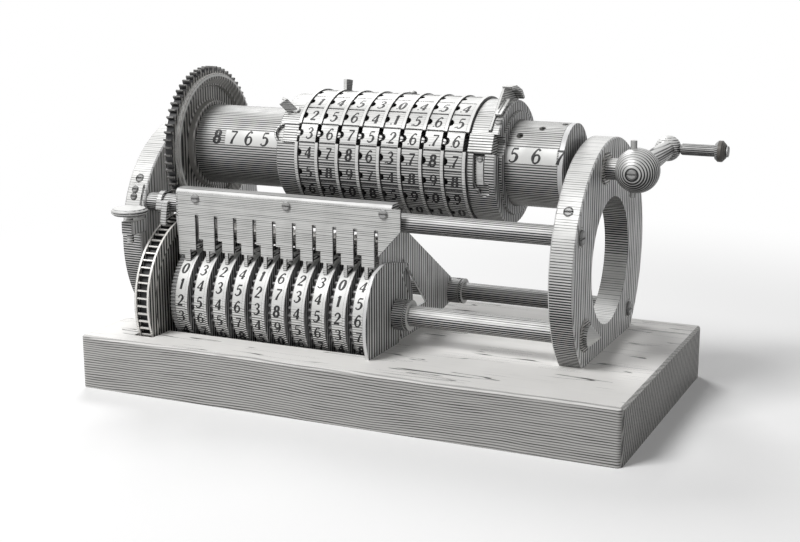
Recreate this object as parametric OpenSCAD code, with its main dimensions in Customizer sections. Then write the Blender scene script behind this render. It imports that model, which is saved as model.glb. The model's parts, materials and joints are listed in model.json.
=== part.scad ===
// Barrel calculating machine: a cranked drum with a sliding carriage of number
// rings stands over a row of recording wheels. Millimetres, X along the shafts
// towards the crank, Y to the rear, Z up, origin at the centre of the underside.

/* [Base] */
// Length of the wooden base
base_l = 330; // [324:1:400]
// Depth of the wooden base, front to back
base_w = 174; // [164:1:220]
// Height of the wooden base
base_h = 32; // [26:0.5:45]
// Bevel along the top edges of the base
base_bevel = 1.6; // [0.5:0.1:4]
// Radius of the upright corners of the base
base_corner_r = 3; // [1:0.5:8]

/* [End frames] */
// Outer radius of each round end frame
frame_r = 70; // [67:0.5:76]
// Radius of the round opening in each end frame
frame_hole_r = 36.5; // [28:0.5:40]
// Thickness of each end frame
frame_t = 14; // [11:0.5:18]
// Bevel along the edges of each end frame
frame_bevel = 0.8; // [0.3:0.1:2]
// Inner face of the left end frame, measured left from the middle of the base
left_frame_x = 144; // [142:0.5:146]
// Inner face of the right end frame, measured right from the middle of the base
right_frame_x = 112; // [111:0.5:116]
// Distance of the frame centre behind the middle of the base
frame_y = 19; // [12:0.5:24]
// Height of the frame centre above the base
frame_z = 50.5; // [49.5:0.5:54]

/* [Shafts and rods] */
// Radius of the upper and lower shafts
shaft_r = 6; // [5:0.25:7]
// Radius of the tie rods
rod_r = 5.5; // [4.5:0.1:5.6]
// Angle of the upper shaft on the frame, from the rear horizontal
upper_a = 105; // [103:1:107]
// Angle between the two shafts, seen from the frame centre
split_a = 110; // [108:1:112]
// Angle of the front tie rod on the frame
front_rod_a = 157.7; // [157.5:0.1:158.5]
// Distance of the front tie rod from the frame centre
front_rod_d = 62.8; // [62.6:0.1:63.2]
// Angle of the rear tie rod on the frame
rear_rod_a = 318; // [314:1:322]
// Wall of the bushes in the end frames
bush_t = 1.5; // [1:0.25:2.5]
// Width of the bush flange outside the frame
bush_flange_t = 1; // [0.6:0.1:1.4]
// Length of the pointed end of the lower shaft outside the frame
point_l = 6; // [3:0.5:9]

/* [Gears] */
// Teeth on each of the two large gears
gear_teeth = 64; // [60:2:66]
// Module of the two large gears
gear_m = 1.45; // [1.4:0.01:1.48]
// Distance of the middle of the gears left of the middle of the base
gear_x = 129; // [128.5:0.25:130]
// Width of the upper gear's teeth
upper_gear_w = 5; // [4:0.25:5.5]
// Thickness of the two flanges that close the lower gear's teeth
shroud_t = 1.5; // [1:0.1:1.8]
// Gap between the upper gear's teeth and each flange
shroud_gap = 1; // [0.5:0.1:1.1]
// Height of the gear teeth above the pitch circle, as a share of the module
addendum = 0.69; // [0.6:0.01:0.72]

/* [Drum] */
// Radius of the drum
drum_r = 24; // [22:0.25:25]
// Wall of the drum
drum_wall = 3.5; // [2.5:0.25:5]
// Gap between the drum's right end and the end frame
drum_end_gap = 3.5; // [2:0.25:6]
// Thickness of the plate that closes the drum's right end
end_plate_t = 3; // [2:0.25:4]
// Radius of the holes in the drum
drum_hole_r = 1.8; // [1.2:0.1:2.2]
// Width of the keyway along the drum
keyway_w = 5; // [3:0.25:7]
// Depth of the keyway along the drum
keyway_d = 1.6; // [1:0.1:2]

/* [Number rings] */
// Number of rings on the carriage
ring_count = 8;
// Distance from one ring, wheel or decimal place to the next
pitch = 13; // [12.8:0.05:13.1]
// Outer radius of the number rings
ring_r = 35.9; // [34.5:0.1:36.2]
// Outer radius of the flanges between the rings
spacer_r = 36.7; // [36.4:0.1:37]
// Thickness of the flanges between the rings
spacer_w = 2; // [1.6:0.1:2.4]
// Figures round each ring and each recording wheel
figures = 20; // [20]
// Angle of the reading row above the front horizontal
read_a = 24; // [20:1:28]
// Radius of the half-round notches beside the figures
notch_r = 2; // [1.95:0.05:2.4]
// Width of the line cut between two figures
line_w = 0.5; // [0.3:0.05:0.8]
// Depth of the line cut between two figures
line_d = 0.35; // [0.2:0.05:0.6]

/* [Carriage] */
// Distance of the first flange left of the middle of the base
carriage_x = 48; // [46:0.5:50]
// Outer radius of the carriage sleeve
sleeve_r = 29.2; // [28.6:0.1:29.6]
// Length of the left end block
left_block_l = 14; // [12:0.5:16]
// Radius of the left end block
left_block_r = 33.4; // [32.5:0.1:35]
// Length of the right end block
right_block_l = 17; // [16:0.5:19]
// Radius of the right end block
right_block_r = 35.2; // [34:0.1:36]
// Width of the rail of the locking slide
rail_w = 7; // [5:0.25:8]
// Thickness of the rail of the locking slide
rail_t = 1.9; // [1.5:0.1:2.2]
// Travel of the locking slide
slide_travel = 2; // [1:0.1:2.1]
// Radius of the latch pin
latch_pin_r = 1.4; // [1:0.1:1.6]

/* [Recording wheels] */
// Number of recording wheels
wheel_count = 10;
// Radius of the figure band of a wheel
wheel_r = 31.3; // [30:0.1:31.6]
// Radius of the thin flange of a wheel
wheel_flange_r = 32.3; // [31.9:0.1:32.6]
// Width of the figure band
wheel_band_w = 7.2; // [6:0.1:7.6]
// Width of the toothed part of a wheel
wheel_tooth_w = 3.6; // [3:0.1:4]
// Radius over the teeth of a wheel
wheel_tooth_r = 28.5; // [27:0.1:28.7]
// Teeth of a wheel
wheel_teeth = 40; // [30:2:50]
// Fine teeth round the left edge of the first wheel
fine_teeth = 90; // [60:2:120]
// Gap between one wheel and the next
wheel_gap = 0.4; // [0.3:0.05:0.6]
// Right side of the last wheel, measured right from the middle of the base
wheels_end_x = 9.6; // [9:0.1:10.5]

/* [Comb] */
// Thickness of the comb plate
comb_t = 1.2; // [0.8:0.1:1.6]
// Depth of the comb bar, front to back
comb_bar_d = 9.8; // [9:0.1:10.4]
// Wall of the comb bar in front of the front tie rod
comb_wall = 2.2; // [1.6:0.1:2.6]
// Bevel along the upper front edge of the comb bar
comb_bevel = 2; // [1:0.25:3]
// Height of the comb bar
comb_bar_h = 16.6; // [16.2:0.2:17.4]
// Height of the comb bar above the rod's centre
comb_rise = 10.7; // [10:0.1:10.9]
// Distance of the comb's left edge left of the middle of the base
comb_left_x = 119.4; // [119:0.1:119.8]
// Distance of the comb's right edge right of the middle of the base
comb_right_x = 25.5; // [23:0.5:28]
// Width of the slits in the comb
slit_w = 2.2; // [1.5:0.1:3]
// Width of the narrow tongue at the end of each finger
tongue_w = 4; // [3:0.1:4.6]
// Width cut from the left side of each finger, above its tongue
finger_step = 2.8; // [2:0.1:3]

/* [Crank] */
// Radius of the ball hub of the crank
hub_r = 12.4; // [11.5:0.1:14]
// Distance of the hub's centre from the end frame's outer face
hub_gap = 17.5; // [16.5:0.25:22]
// Distance from the shaft's axis to the handle's axis
crank_throw = 68; // [50:0.5:74]
// Upward tilt of the crank arm at rest
crank_tilt = 3; // [0:0.5:20]
// Radius of the crank arm at the hub
arm_r1 = 6.4; // [5:0.1:7]
// Radius of the crank arm at the small ball
arm_r2 = 4.9; // [3.5:0.1:6]
// Radius of the small ball on the arm
ball_r = 7.6; // [7:0.1:9]
// Radius of the pin through the hub
cross_pin_r = 1.8; // [1.5:0.1:2.5]
// Length of the handle's grip
grip_l = 20; // [16:0.5:40]
// Radius of the handle's grip
grip_r = 3.4; // [3:0.1:5]
// Radius of the round knob at the end of the grip
knob_r = 6.2; // [5:0.1:9]
// Thickness of the round knob
knob_t = 6.4; // [5:0.1:9]

/* [Small parts] */
// Radius of the thumb button
button_r = 10.7; // [8:0.1:11.5]
// Thickness of the thumb button
button_t = 4; // [3:0.1:5]
// Height of the thumb button above the base
button_z = 70; // [68:0.5:71]
// Travel of the thumb button
button_travel = 3; // [1.5:0.1:4]
// Thickness of the two web plates
web_t = 1.6; // [1.2:0.1:1.7]
// Thickness of the bearing bracket
bracket_t = 2.2; // [1.6:0.1:3]
// Radius of the carry shaft behind the comb
carry_shaft_r = 3; // [2.5:0.1:4]
// Radius over the teeth of the carry pinions
pinion_r = 9.6; // [8:0.1:9.8]
// Teeth of the carry pinions
pinion_teeth = 16; // [14:1:20]

/* [Fits] */
// Radial clearance of a turning fit
run_fit = 0.05; // [0.02:0.01:0.09]
// Radial clearance where two fixed pieces fit together
seat_fit = 0.03; // [0.01:0.01:0.05]
// Gap between faces that move past each other
face_gap = 0.3; // [0.25:0.05:0.4]

/* [Hidden] */
$fn = 96;

// Places of the shafts and rods, as [y, z], all on one circle round the frame centre
gear_r = gear_m * gear_teeth / 2;
circle_r = gear_r / sin(split_a / 2);
frame_c = [frame_y, base_h + frame_z];
function on_frame(a) = frame_c + circle_r * [cos(a), sin(a)];
upper = on_frame(upper_a);
lower = on_frame(upper_a + split_a);
front_rod = frame_c + front_rod_d * [cos(front_rod_a), sin(front_rod_a)];
rear_rod = on_frame(rear_rod_a);
// The carry shaft stands on the line between the two shafts
line_of_centres = (upper - lower) / norm(upper - lower);
carry = lower + (wheel_tooth_r + face_gap + pinion_r) * line_of_centres;

left_out_x = -left_frame_x - frame_t;
right_out_x = right_frame_x + frame_t;
gear_tip_r = gear_r + addendum * gear_m;
gear_root_r = gear_r - 1.1 * gear_m;
lower_gear_w = upper_gear_w + 2 * (shroud_gap + shroud_t);
upper_gear_x0 = -gear_x - upper_gear_w / 2;
upper_gear_x1 = -gear_x + upper_gear_w / 2;
lower_gear_x0 = -gear_x - lower_gear_w / 2;
lower_gear_x1 = -gear_x + lower_gear_w / 2;
drum_x0 = upper_gear_x1;
drum_x1 = right_frame_x - drum_end_gap;
drum_bore_r = drum_r - drum_wall;

cell_a = 360 / figures;
cell_w = 2 * ring_r * sin(cell_a / 2);
ring_bore_r = sleeve_r + face_gap;
ring_w = pitch - spacer_w - 2 * face_gap;
function spacer_x(i) = -carriage_x + i * pitch;
carriage_x0 = spacer_x(0) - spacer_w / 2 - left_block_l;
carriage_x1 = spacer_x(ring_count) + spacer_w / 2 + right_block_l;
sleeve_bore_r = drum_r + face_gap;
rail_r = sleeve_r - face_gap - rail_t;
tongue_r = notch_r - 0.35;
latch_a = 112;
latch_x = carriage_x1 - 5.5;
latch_pivot_a = 43;
latch_pivot = upper + (right_block_r - 1.2) * [-cos(latch_pivot_a), sin(latch_pivot_a)];

wheel_w = pitch - wheel_gap;
wheel_flange_w = wheel_w - wheel_tooth_w - wheel_band_w;
function wheel_x(i) = wheels_end_x - wheel_w - (wheel_count - i) * pitch;
left_web_x = (lower_gear_x1 + wheel_x(1) - web_t) / 2;
right_web_x = wheels_end_x + wheel_gap;
bracket_x = right_web_x + web_t;

comb_y = front_rod[0] - rod_r - comb_wall;
comb_top = front_rod[1] + comb_rise;
comb_tip_a = 49.5;
comb_tip_z = lower[1] + (wheel_r + face_gap) * sin(comb_tip_a);

hub_x = right_out_x + hub_gap;
crank_end = upper + crank_throw * [cos(crank_tilt), sin(crank_tilt)];
button_c = [-left_frame_x + 0.5, frame_c[0] - frame_r - 11.6, base_h + button_z];
rod_screw_r = 4.4;

// Stands a solid on the line through p = [y, z], from x onwards to the right
module along_x(p, x) translate([x, p[0], p[1]]) rotate([90, 0, 90]) children();

// Turns to the angle a above the front horizontal, seen along a shaft
module at(a) rotate(180 - a) children();

module rod_x(p, x0, x1, r) along_x(p, x0) cylinder(h = x1 - x0, r = r);

// A flat ring sector between two angles above the front horizontal
module sector(r0, r1, a0, a1) {
    steps = max(2, ceil((a1 - a0) / 6));
    step_a = (a1 - a0) / steps;
    far = r1 * 1.3;
    intersection() {
        difference() {
            circle(r1);
            circle(r0);
        }
        polygon([[0, 0], for (i = [0:steps]) far * [-cos(a0 + i * step_a), sin(a0 + i * step_a)]]);
    }
}

// Outline of a gear with straight-sided teeth, the first one on the +x axis
module gear_outline(teeth, root, tip, root_share = 0.42, tip_share = 0.22) {
    p = 360 / teeth;
    polygon([for (i = [0:teeth - 1]) each [
        root * [cos((i - root_share / 2) * p), sin((i - root_share / 2) * p)],
        tip * [cos((i - tip_share / 2) * p), sin((i - tip_share / 2) * p)],
        tip * [cos((i + tip_share / 2) * p), sin((i + tip_share / 2) * p)],
        root * [cos((i + root_share / 2) * p), sin((i + root_share / 2) * p)]
    ]]);
}

// A slotted screw head with its shank, standing on z = 0 and pointing up
module slotted_screw(head_r, head_h, shank_r, shank_l) {
    difference() {
        union() {
            rotate_extrude() polygon([[0, 0], [head_r, 0], [head_r, head_h * 0.55],
                [head_r * 0.8, head_h], [0, head_h]]);
            translate([0, 0, -shank_l]) cylinder(h = shank_l, r = shank_r);
        }
        translate([-head_r, -head_r * 0.12, head_h * 0.45]) cube([2 * head_r, head_r * 0.24, head_h]);
    }
}

// A round disc along x with bevelled rims, as a turned profile
module bevelled_disc(r, w, bevel) {
    rotate_extrude() polygon([[0, 0], [r - bevel, 0], [r, bevel], [r, w - bevel], [r - bevel, w], [0, w]]);
}

// BASE AND FRAMES
module base_plan() {
    inner_l = base_l - 2 * base_corner_r;
    inner_w = base_w - 2 * base_corner_r;
    square([base_l, inner_w], center = true);
    square([inner_l, base_w], center = true);
    for (sx = [-1, 1], sy = [-1, 1]) translate([sx * inner_l / 2, sy * inner_w / 2]) circle(base_corner_r);
}

module bevelled_side(half) {
    polygon([[-half, 0], [half, 0], [half, base_h - base_bevel], [half - base_bevel, base_h],
        [base_bevel - half, base_h], [-half, base_h - base_bevel]]);
}

slot_side = 2;
slot_y = sqrt(pow(gear_tip_r + 0.3 + slot_side, 2) - pow(lower[1] - base_h, 2));
mortise_y = sqrt(pow(wheel_flange_r + slot_side, 2) - pow(lower[1] - base_h, 2));
mortise_z = lower[1] - wheel_flange_r - slot_side;

module base_block() color("sienna") difference() {
    intersection() {
        linear_extrude(base_h) base_plan();
        rotate([90, 0, 90]) translate([0, 0, -base_l]) linear_extrude(2 * base_l) bevelled_side(base_w / 2);
        rotate([90, 0, 0]) translate([0, 0, -base_w]) linear_extrude(2 * base_w) bevelled_side(base_l / 2);
    }
    translate([lower_gear_x0 - slot_side, lower[0] - slot_y, -1])
        cube([lower_gear_w + slot_side + left_web_x - lower_gear_x1, 2 * slot_y, base_h + 2]);
    translate([left_web_x - 1, lower[0] - mortise_y, mortise_z])
        cube([right_web_x - left_web_x + 0.6, 2 * mortise_y, base_h]);
    foot_screw_places() translate([0, 0, -1]) cylinder(h = base_h + 2, r = 2.5 + seat_fit);
    foot_screw_places() translate([0, 0, -1]) cylinder(h = 6, r = 5.5);
}

foot_screw_y = 34;
module foot_screw_places() {
    for (x = [-left_frame_x - frame_t / 2, right_frame_x + frame_t / 2], side = [-1, 1])
        translate([x, frame_y + side * foot_screw_y, 0]) children();
}

module foot_screws() color("dimgray") foot_screw_places() {
    translate([0, 0, 5]) rotate([180, 0, 0]) slotted_screw(5, 3, 2.5, base_h - 5 + 9);
}

frame_bore_r = shaft_r + run_fit + bush_t + seat_fit;
module end_frame(x, out_side) difference() {
    along_x(frame_c, x) difference() {
        bevelled_disc(frame_r, frame_t, frame_bevel);
        translate([0, 0, -1]) cylinder(h = frame_t + 2, r = frame_hole_r);
    }
    translate([x - 1, frame_y - frame_r, -frame_r]) cube([frame_t + 2, 2 * frame_r, base_h + frame_r]);
    for (p = [upper, lower]) rod_x(p, x - 1, x + frame_t + 1, frame_bore_r);
    for (p = [front_rod, rear_rod]) rod_x(p, x - 1, x + frame_t + 1, rod_r + seat_fit);
    foot_screw_places() translate([0, 0, base_h - 1]) cylinder(h = 10 + seat_fit, r = 2.5 + seat_fit);
    for (a = rim_screw_angles) rim_screw_place(x + frame_t / 2, a) {
        translate([0, 0, -6]) cylinder(h = 9, r = 1.6 + seat_fit);
        translate([0, 0, -0.8]) cylinder(h = 3, r = 2.7);
    }
}

// Small plug screws in the rims, over the oil holes
rim_screw_angles = [147.6, 318];
module rim_screw_place(x, a) {
    translate([x, frame_c[0], frame_c[1]]) rotate([a - 90, 0, 0]) translate([0, 0, frame_r]) children();
}

module left_end_frame() color("gray") difference() {
    end_frame(-left_frame_x - frame_t, -1);
    bracket_screw_places() translate([0, 0, -1.3]) cylinder(h = 4, r = 1.3 + seat_fit);
}
module right_end_frame() color("gray") end_frame(right_frame_x, 1);

module front_tie_rod() color("silver") difference() {
    rod_x(front_rod, left_out_x, right_out_x, rod_r);
    tie_rod_taps(front_rod);
}

module rear_tie_rod() color("silver") difference() {
    rod_x(rear_rod, left_out_x, right_out_x, rod_r);
    tie_rod_taps(rear_rod);
}

module tie_rod_taps(p) {
    rod_x(p, right_out_x - 8, right_out_x + 1, 2 + seat_fit);
    rod_x(p, left_out_x - 1, left_out_x + 8, 2 + seat_fit);
}

// Slotted end screws of the tie rods and the set screws in the rims
module frame_screws() color("silver") {
    for (p = [front_rod, rear_rod]) {
        along_x(p, right_out_x) slotted_screw(rod_screw_r, 1.6, 2, 7.5);
        translate([left_out_x, p[0], p[1]]) rotate([0, -90, 0]) slotted_screw(rod_screw_r, 1.6, 2, 7.5);
    }
    for (x = [-left_frame_x - frame_t / 2, right_frame_x + frame_t / 2], a = rim_screw_angles)
        rim_screw_place(x, a) translate([0, 0, -0.8]) slotted_screw(2.6, 1.1, 1.6, 5);
    bracket_screw_places() translate([0, 0, button_plate_t]) slotted_screw(2.2, 0.9, 1.3, button_plate_t + 1.2);
}

// One bush in each frame for each shaft, with a thin flange outside
module shaft_bushes() color("goldenrod") for (p = [upper, lower]) {
    bush(p, right_frame_x, 1);
    bush(p, -left_frame_x - frame_t, -1);
}

module bush(p, x, side) {
    flange_x = side > 0 ? x + frame_t : x - bush_flange_t;
    difference() {
        union() {
            rod_x(p, x, x + frame_t, shaft_r + run_fit + bush_t);
            rod_x(p, flange_x, flange_x + bush_flange_t, shaft_r + run_fit + bush_t + 1.5);
        }
        rod_x(p, x - 2, x + frame_t + 2, shaft_r + run_fit);
    }
}

// COMB AND PLATES BETWEEN THE FRAMES
comb_bar_x1 = comb_right_x - 6;
module comb_bar() color("silver") difference() {
    along_x([0, 0], left_web_x + web_t) linear_extrude(comb_bar_x1 - left_web_x - web_t)
        polygon([[comb_y, comb_top - comb_bar_h], [comb_y + comb_bar_d, comb_top - comb_bar_h],
            [comb_y + comb_bar_d, comb_top], [comb_y + comb_bevel, comb_top], [comb_y, comb_top - comb_bevel]]);
    rod_x(front_rod, left_web_x, comb_bar_x1 + 1, rod_r + seat_fit);
    comb_screw_places() translate([0, 0, -3.4]) cylinder(h = 5, r = 1.5 + seat_fit);
}

comb_screw_x = [-107, -46, 15];
module comb_screw_places() {
    for (x = comb_screw_x) translate([x, comb_y, comb_top - comb_bevel - 3.1]) rotate([90, 0, 0]) children();
}

module comb_screws() color("white") comb_screw_places() {
    translate([0, 0, comb_t]) slotted_screw(2.7, 1.2, 1.5, 3.2 + comb_t);
}

// Heights on the comb: top of the slits, the left step and the right step of a finger
slit_top = comb_top - comb_bevel - 12.8;
step_1_z = comb_tip_z + 13.5;
step_2_z = comb_tip_z + 6.8;
finger_w = pitch - slit_w;
module comb_outline() {
    difference() {
        polygon([[-comb_left_x, comb_tip_z], [last_slit_x, comb_tip_z], [last_slit_x, slit_top - 15],
            [comb_right_x, slit_top + 0.4], [comb_right_x, comb_top - comb_bevel],
            [-comb_left_x, comb_top - comb_bevel]]);
        for (i = [1:wheel_count]) finger_cuts(i);
    }
}

// Left edge of finger i: its tongue stands over the middle of the figure band
function finger_x(i) = wheel_x(i) + wheel_tooth_w + (wheel_band_w - tongue_w) / 2 - 0.7 - finger_step;
last_slit_x = finger_x(wheel_count) + finger_w + slit_w;

// The slit to the right of a finger, and the steps that leave its narrow tongue
module finger_cuts(i) {
    low = comb_tip_z - 1;
    translate([finger_x(i) + finger_w, low]) square([slit_w, slit_top - low]);
    translate([finger_x(i) + finger_step + tongue_w, low]) square([finger_w, step_2_z - low]);
    if (i > 1) translate([finger_x(i) - slit_w / 2, low]) square([slit_w / 2 + finger_step, step_1_z - low]);
    if (i == 1) translate([-comb_left_x - 1, low]) square([finger_x(1) + finger_step + comb_left_x + 1, 3.4 + 1]);
}

module comb_plate() color("gainsboro") difference() {
    translate([0, comb_y, 0]) rotate([90, 0, 0]) linear_extrude(comb_t) comb_outline();
    comb_screw_places() translate([0, 0, -1]) cylinder(h = comb_t + 2, r = 1.5 + seat_fit);
    for (i = [1:wheel_count]) rod_x(lower, wheel_x(i) + wheel_tooth_w - 1.5, wheel_x(i) + wheel_w - wheel_flange_w - 0.3,
        wheel_r + face_gap);
}

// A triangular web from the front rod to the rear rod, with a triangular window
web_rim = 1.2;
module web_outline() difference() {
    hull() {
        translate(front_rod) circle(rod_r + web_rim, $fn = 32);
        translate(rear_rod) circle(rod_r + web_rim, $fn = 32);
        translate(lower) circle(shaft_r + 5, $fn = 32);
        translate([lower[0] - 8, base_h]) square([60, 1]);
    }
    polygon([window_top, window_front, window_rear]);
}

// Corners of the window in the web, measured from the lower shaft
window_top = lower + [13, 30];
window_front = lower + [16, -4];
window_rear = lower + [49, -4];
module web_plate(x) difference() {
    along_x([0, 0], x) linear_extrude(web_t) web_outline();
    rod_x(front_rod, x - 1, x + web_t + 1, rod_r + seat_fit);
    rod_x(rear_rod, x - 1, x + web_t + 1, rod_r + seat_fit);
    rod_x(lower, x - 1, x + web_t + 1, shaft_r + face_gap);
    rod_x(carry, left_web_x + web_t / 2, right_web_x + web_t / 2, carry_shaft_r + seat_fit);
    translate([x - 1, comb_y - 20, comb_top - comb_bar_h - seat_fit])
        cube([web_t + 2, comb_bar_d + 20 + seat_fit, comb_bar_h + 10]);
}

module left_web_plate() color("slategray") web_plate(left_web_x);
module right_web_plate() color("slategray") web_plate(right_web_x);

// Bearing bracket beside the last wheel: round in front, with a beak at the top that
// points to the rear, standing on the base
bracket_r = 41;
bracket_top = 32.6;
module bearing_bracket() color("dimgray") difference() {
    along_x([0, 0], bracket_x) linear_extrude(bracket_t) intersection() {
        translate(lower) circle(bracket_r);
        translate(lower) polygon([[-bracket_r - 7, -lower[1] + base_h], [2, -lower[1] + base_h], [22, 1],
            [12.9, 13.7], [7.3, 21.5], [17.2, bracket_top - 6], [-2.4, bracket_top - 1.7], [-13, bracket_top],
            [-19, bracket_top - 0.6], [-27, bracket_top - 3], [-bracket_r - 7, bracket_top - 12]]);
    }
    rod_x(lower, bracket_x - 1, bracket_x + bracket_t + 1, shaft_r + run_fit);
}

// Groove round a collar, down to the radius r
module collar_groove(p, x, r) along_x(p, x) linear_extrude(1) difference() {
    circle(r + 3);
    circle(r);
}

// Collar that holds the right web on the rear rod, with its set screw hole
module rod_collar() color("silver") difference() {
    rod_x(rear_rod, right_web_x + web_t, right_web_x + web_t + 9, rod_r + 2.4);
    rod_x(rear_rod, right_web_x, right_web_x + web_t + 10, rod_r + seat_fit);
    collar_groove(rear_rod, right_web_x + web_t + 6.9, rod_r + 1.7);
    translate([right_web_x + web_t + 5, rear_rod[0], rear_rod[1]]) cylinder(h = 12, r = 1.4);
}

module carry_shaft() color("silver") rod_x(carry, left_web_x + web_t / 2, right_web_x + web_t / 2, carry_shaft_r);

// Small pinions on one sleeve, one beside the teeth of each wheel but the first
module carry_pinions() color("goldenrod") difference() {
    union() {
        rod_x(carry, left_web_x + web_t + face_gap, right_web_x - face_gap, carry_shaft_r + 2);
        for (i = [2:wheel_count]) along_x(carry, wheel_x(i) + 0.3)
            linear_extrude(wheel_tooth_w - 0.6) gear_outline(pinion_teeth, pinion_r - 2.2, pinion_r);
    }
    rod_x(carry, left_web_x, right_web_x + web_t, carry_shaft_r + run_fit);
}

// THUMB BUTTON AND GEAR PAWL AT THE LEFT
button_plate_t = 1.4;
button_stem_r = 2;
guide_w = 2 * button_stem_r + 3;
guide_h = 7.5;
button_guide_z = button_c[2] - button_travel - 1 - guide_h;
bracket_screw_z = [base_h + 77.3, base_h + 81.3];
module bracket_screw_places() {
    for (z = bracket_screw_z) translate([-left_frame_x - frame_t / 2, frame_c[0], frame_c[1]])
        rotate([90 - asin((z - frame_c[1]) / frame_r), 0, 0]) translate([0, 0, frame_r]) children();
}

// Curved plate on the rim with a block that guides the button's stem
module button_bracket() color("dimgray") difference() {
    union() {
        translate([button_c[0] - guide_w / 2, button_c[1] - guide_w / 2, button_guide_z])
            cube([guide_w, frame_c[0] - frame_r / 2 - button_c[1], guide_h]);
        intersection() {
            rod_x(frame_c, -left_frame_x - 12, -left_frame_x - 2, frame_r + button_plate_t);
            translate([-left_frame_x - 13, button_c[1], button_guide_z])
                cube([12, frame_r, bracket_screw_z[1] + 3.5 - button_guide_z]);
        }
    }
    rod_x(frame_c, -left_frame_x - frame_t, -left_frame_x + 20, frame_r);
    translate([button_c[0], button_c[1], button_c[2] - 20]) cylinder(h = 20, r = button_stem_r + run_fit);
    bracket_screw_places() translate([0, 0, -1]) cylinder(h = 5, r = 1.3 + seat_fit);
}

module thumb_button() color("silver") translate(button_c) {
    translate([0, 0, -17]) cylinder(h = 18, r = button_stem_r);
    rotate_extrude() polygon([[0, 0], [button_r - 1.4, 0], [button_r, 1.2], [button_r, button_t - 1.2],
        [button_r - 1.4, button_t], [0, button_t]]);
}

// Pawl on the front rod, whose nose stands over the lower gear's teeth
pawl_hub_w = 3.4;
pawl_x0 = upper_gear_x0 - pawl_hub_w - 0.8;
module gear_pawl() color("dimgray") difference() {
    union() {
        rod_x(front_rod, pawl_x0, pawl_x0 + pawl_hub_w, rod_r + 1.8);
        along_x(front_rod, pawl_x0 + 0.5) linear_extrude(upper_gear_x1 - 0.5 - pawl_x0 - 0.5)
            polygon([[-6, 2.4], [-7.9, 1.8], [-8.9, -3], [-6.2, -3.6]]);
        along_x(front_rod, upper_gear_x0 + 0.5) linear_extrude(upper_gear_w - 1)
            polygon([[-6.4, 1], [-8.6, 0.4], [-11, -11.4], [-9.5, -12], [-6.6, -5]]);
    }
    rod_x(front_rod, pawl_x0 - 1, lower_gear_x1 + 2, rod_r + run_fit);
}

// DRUM AND CRANK
module main_shaft() color("silver") difference() {
    rod_x(upper, left_out_x - bush_flange_t - 1, hub_x + 4, shaft_r);
    cross_pin_place() translate([0, 0, -hub_r]) cylinder(h = 2 * hub_r, r = cross_pin_r + seat_fit);
}

// Helical row of holes and straight row of latch holes
helix_step_a = 16;
helix_a0 = 47.5;
helix_pitch = 11.2;
helix_x0 = drum_x1 - end_plate_t - 1.9 - 2 * helix_pitch;
module drum() color("lightsteelblue") difference() {
    rod_x(upper, drum_x0, drum_x1 - end_plate_t, drum_r);
    rod_x(upper, drum_x0 - 1, drum_x1, drum_bore_r);
    for (i = [-3:2]) drum_hole(helix_x0 + i * helix_pitch, helix_a0 + i * helix_step_a);
    for (i = [-4:2]) drum_hole(latch_x + i * pitch, latch_a);
    along_x(upper, drum_x0 + 6) at(-90) translate([drum_r - keyway_d, -keyway_w / 2, 0])
        cube([drum_wall, keyway_w, drum_x1 - drum_x0]);
}

module drum_hole(x, a) along_x(upper, x) at(a) translate([drum_r - drum_wall - 1, 0, 0])
    rotate([0, 90, 0]) cylinder(h = drum_wall + 3, r = drum_hole_r, $fn = 24);

module drum_end_plate() color("silver") difference() {
    rod_x(upper, drum_x1 - end_plate_t, drum_x1, drum_r);
    rod_x(upper, drum_x1 - 10, drum_x1 + 1, shaft_r + seat_fit);
}

// Upper gear: toothed rim, dished web, and a hub that carries the drum's left end
module drum_gear() color("lightgray") difference() {
    union() {
        along_x(upper, upper_gear_x0) linear_extrude(upper_gear_w)
            rotate(gear_facing) gear_outline(gear_teeth, gear_root_r, gear_tip_r);
        along_x(upper, upper_gear_x1) rotate_extrude() polygon([[0, -0.5], [drum_bore_r - seat_fit, -0.5],
            [drum_bore_r - seat_fit, 5], [0, 5]]);
        along_x(upper, upper_gear_x1 - 0.5) rotate_extrude() polygon([[gear_root_r - 8, 0], [gear_root_r - 2.8, 0],
            [gear_root_r - 2.8, 1.6], [gear_root_r - 2, 2.1], [gear_root_r - 1.4, 2.8], [gear_root_r - 2, 3.5],
            [gear_root_r - 3.4, 3.8], [gear_root_r - 5, 3.8], [gear_root_r - 8, 0.4]]);
        along_x(upper, upper_gear_x1 - 2.5) rotate_extrude() polygon([[drum_r + seat_fit, 0], [drum_r + 2.6, 0],
            [drum_r + 2.6, 4.6], [drum_r + 1.8, 5.4], [drum_r + seat_fit, 5.4]]);
        rod_x(upper, upper_gear_x0 - 5, upper_gear_x0 + 1, 14);
    }
    // dish on the right face, round the drum
    along_x(upper, upper_gear_x1) rotate_extrude() polygon([[drum_r + 2.6, 8], [drum_r + 2.6, -1],
        [drum_r + 4, -1.6], [gear_root_r - 9.5, -1.6], [gear_root_r - 7, 8]]);
    rod_x(upper, upper_gear_x0 - 10, upper_gear_x1 + 10, shaft_r + seat_fit);
}
// A tooth of the upper gear and a gap of the lower one lie on the line of centres
gear_facing = atan2(-line_of_centres[1], -line_of_centres[0]);

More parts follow.
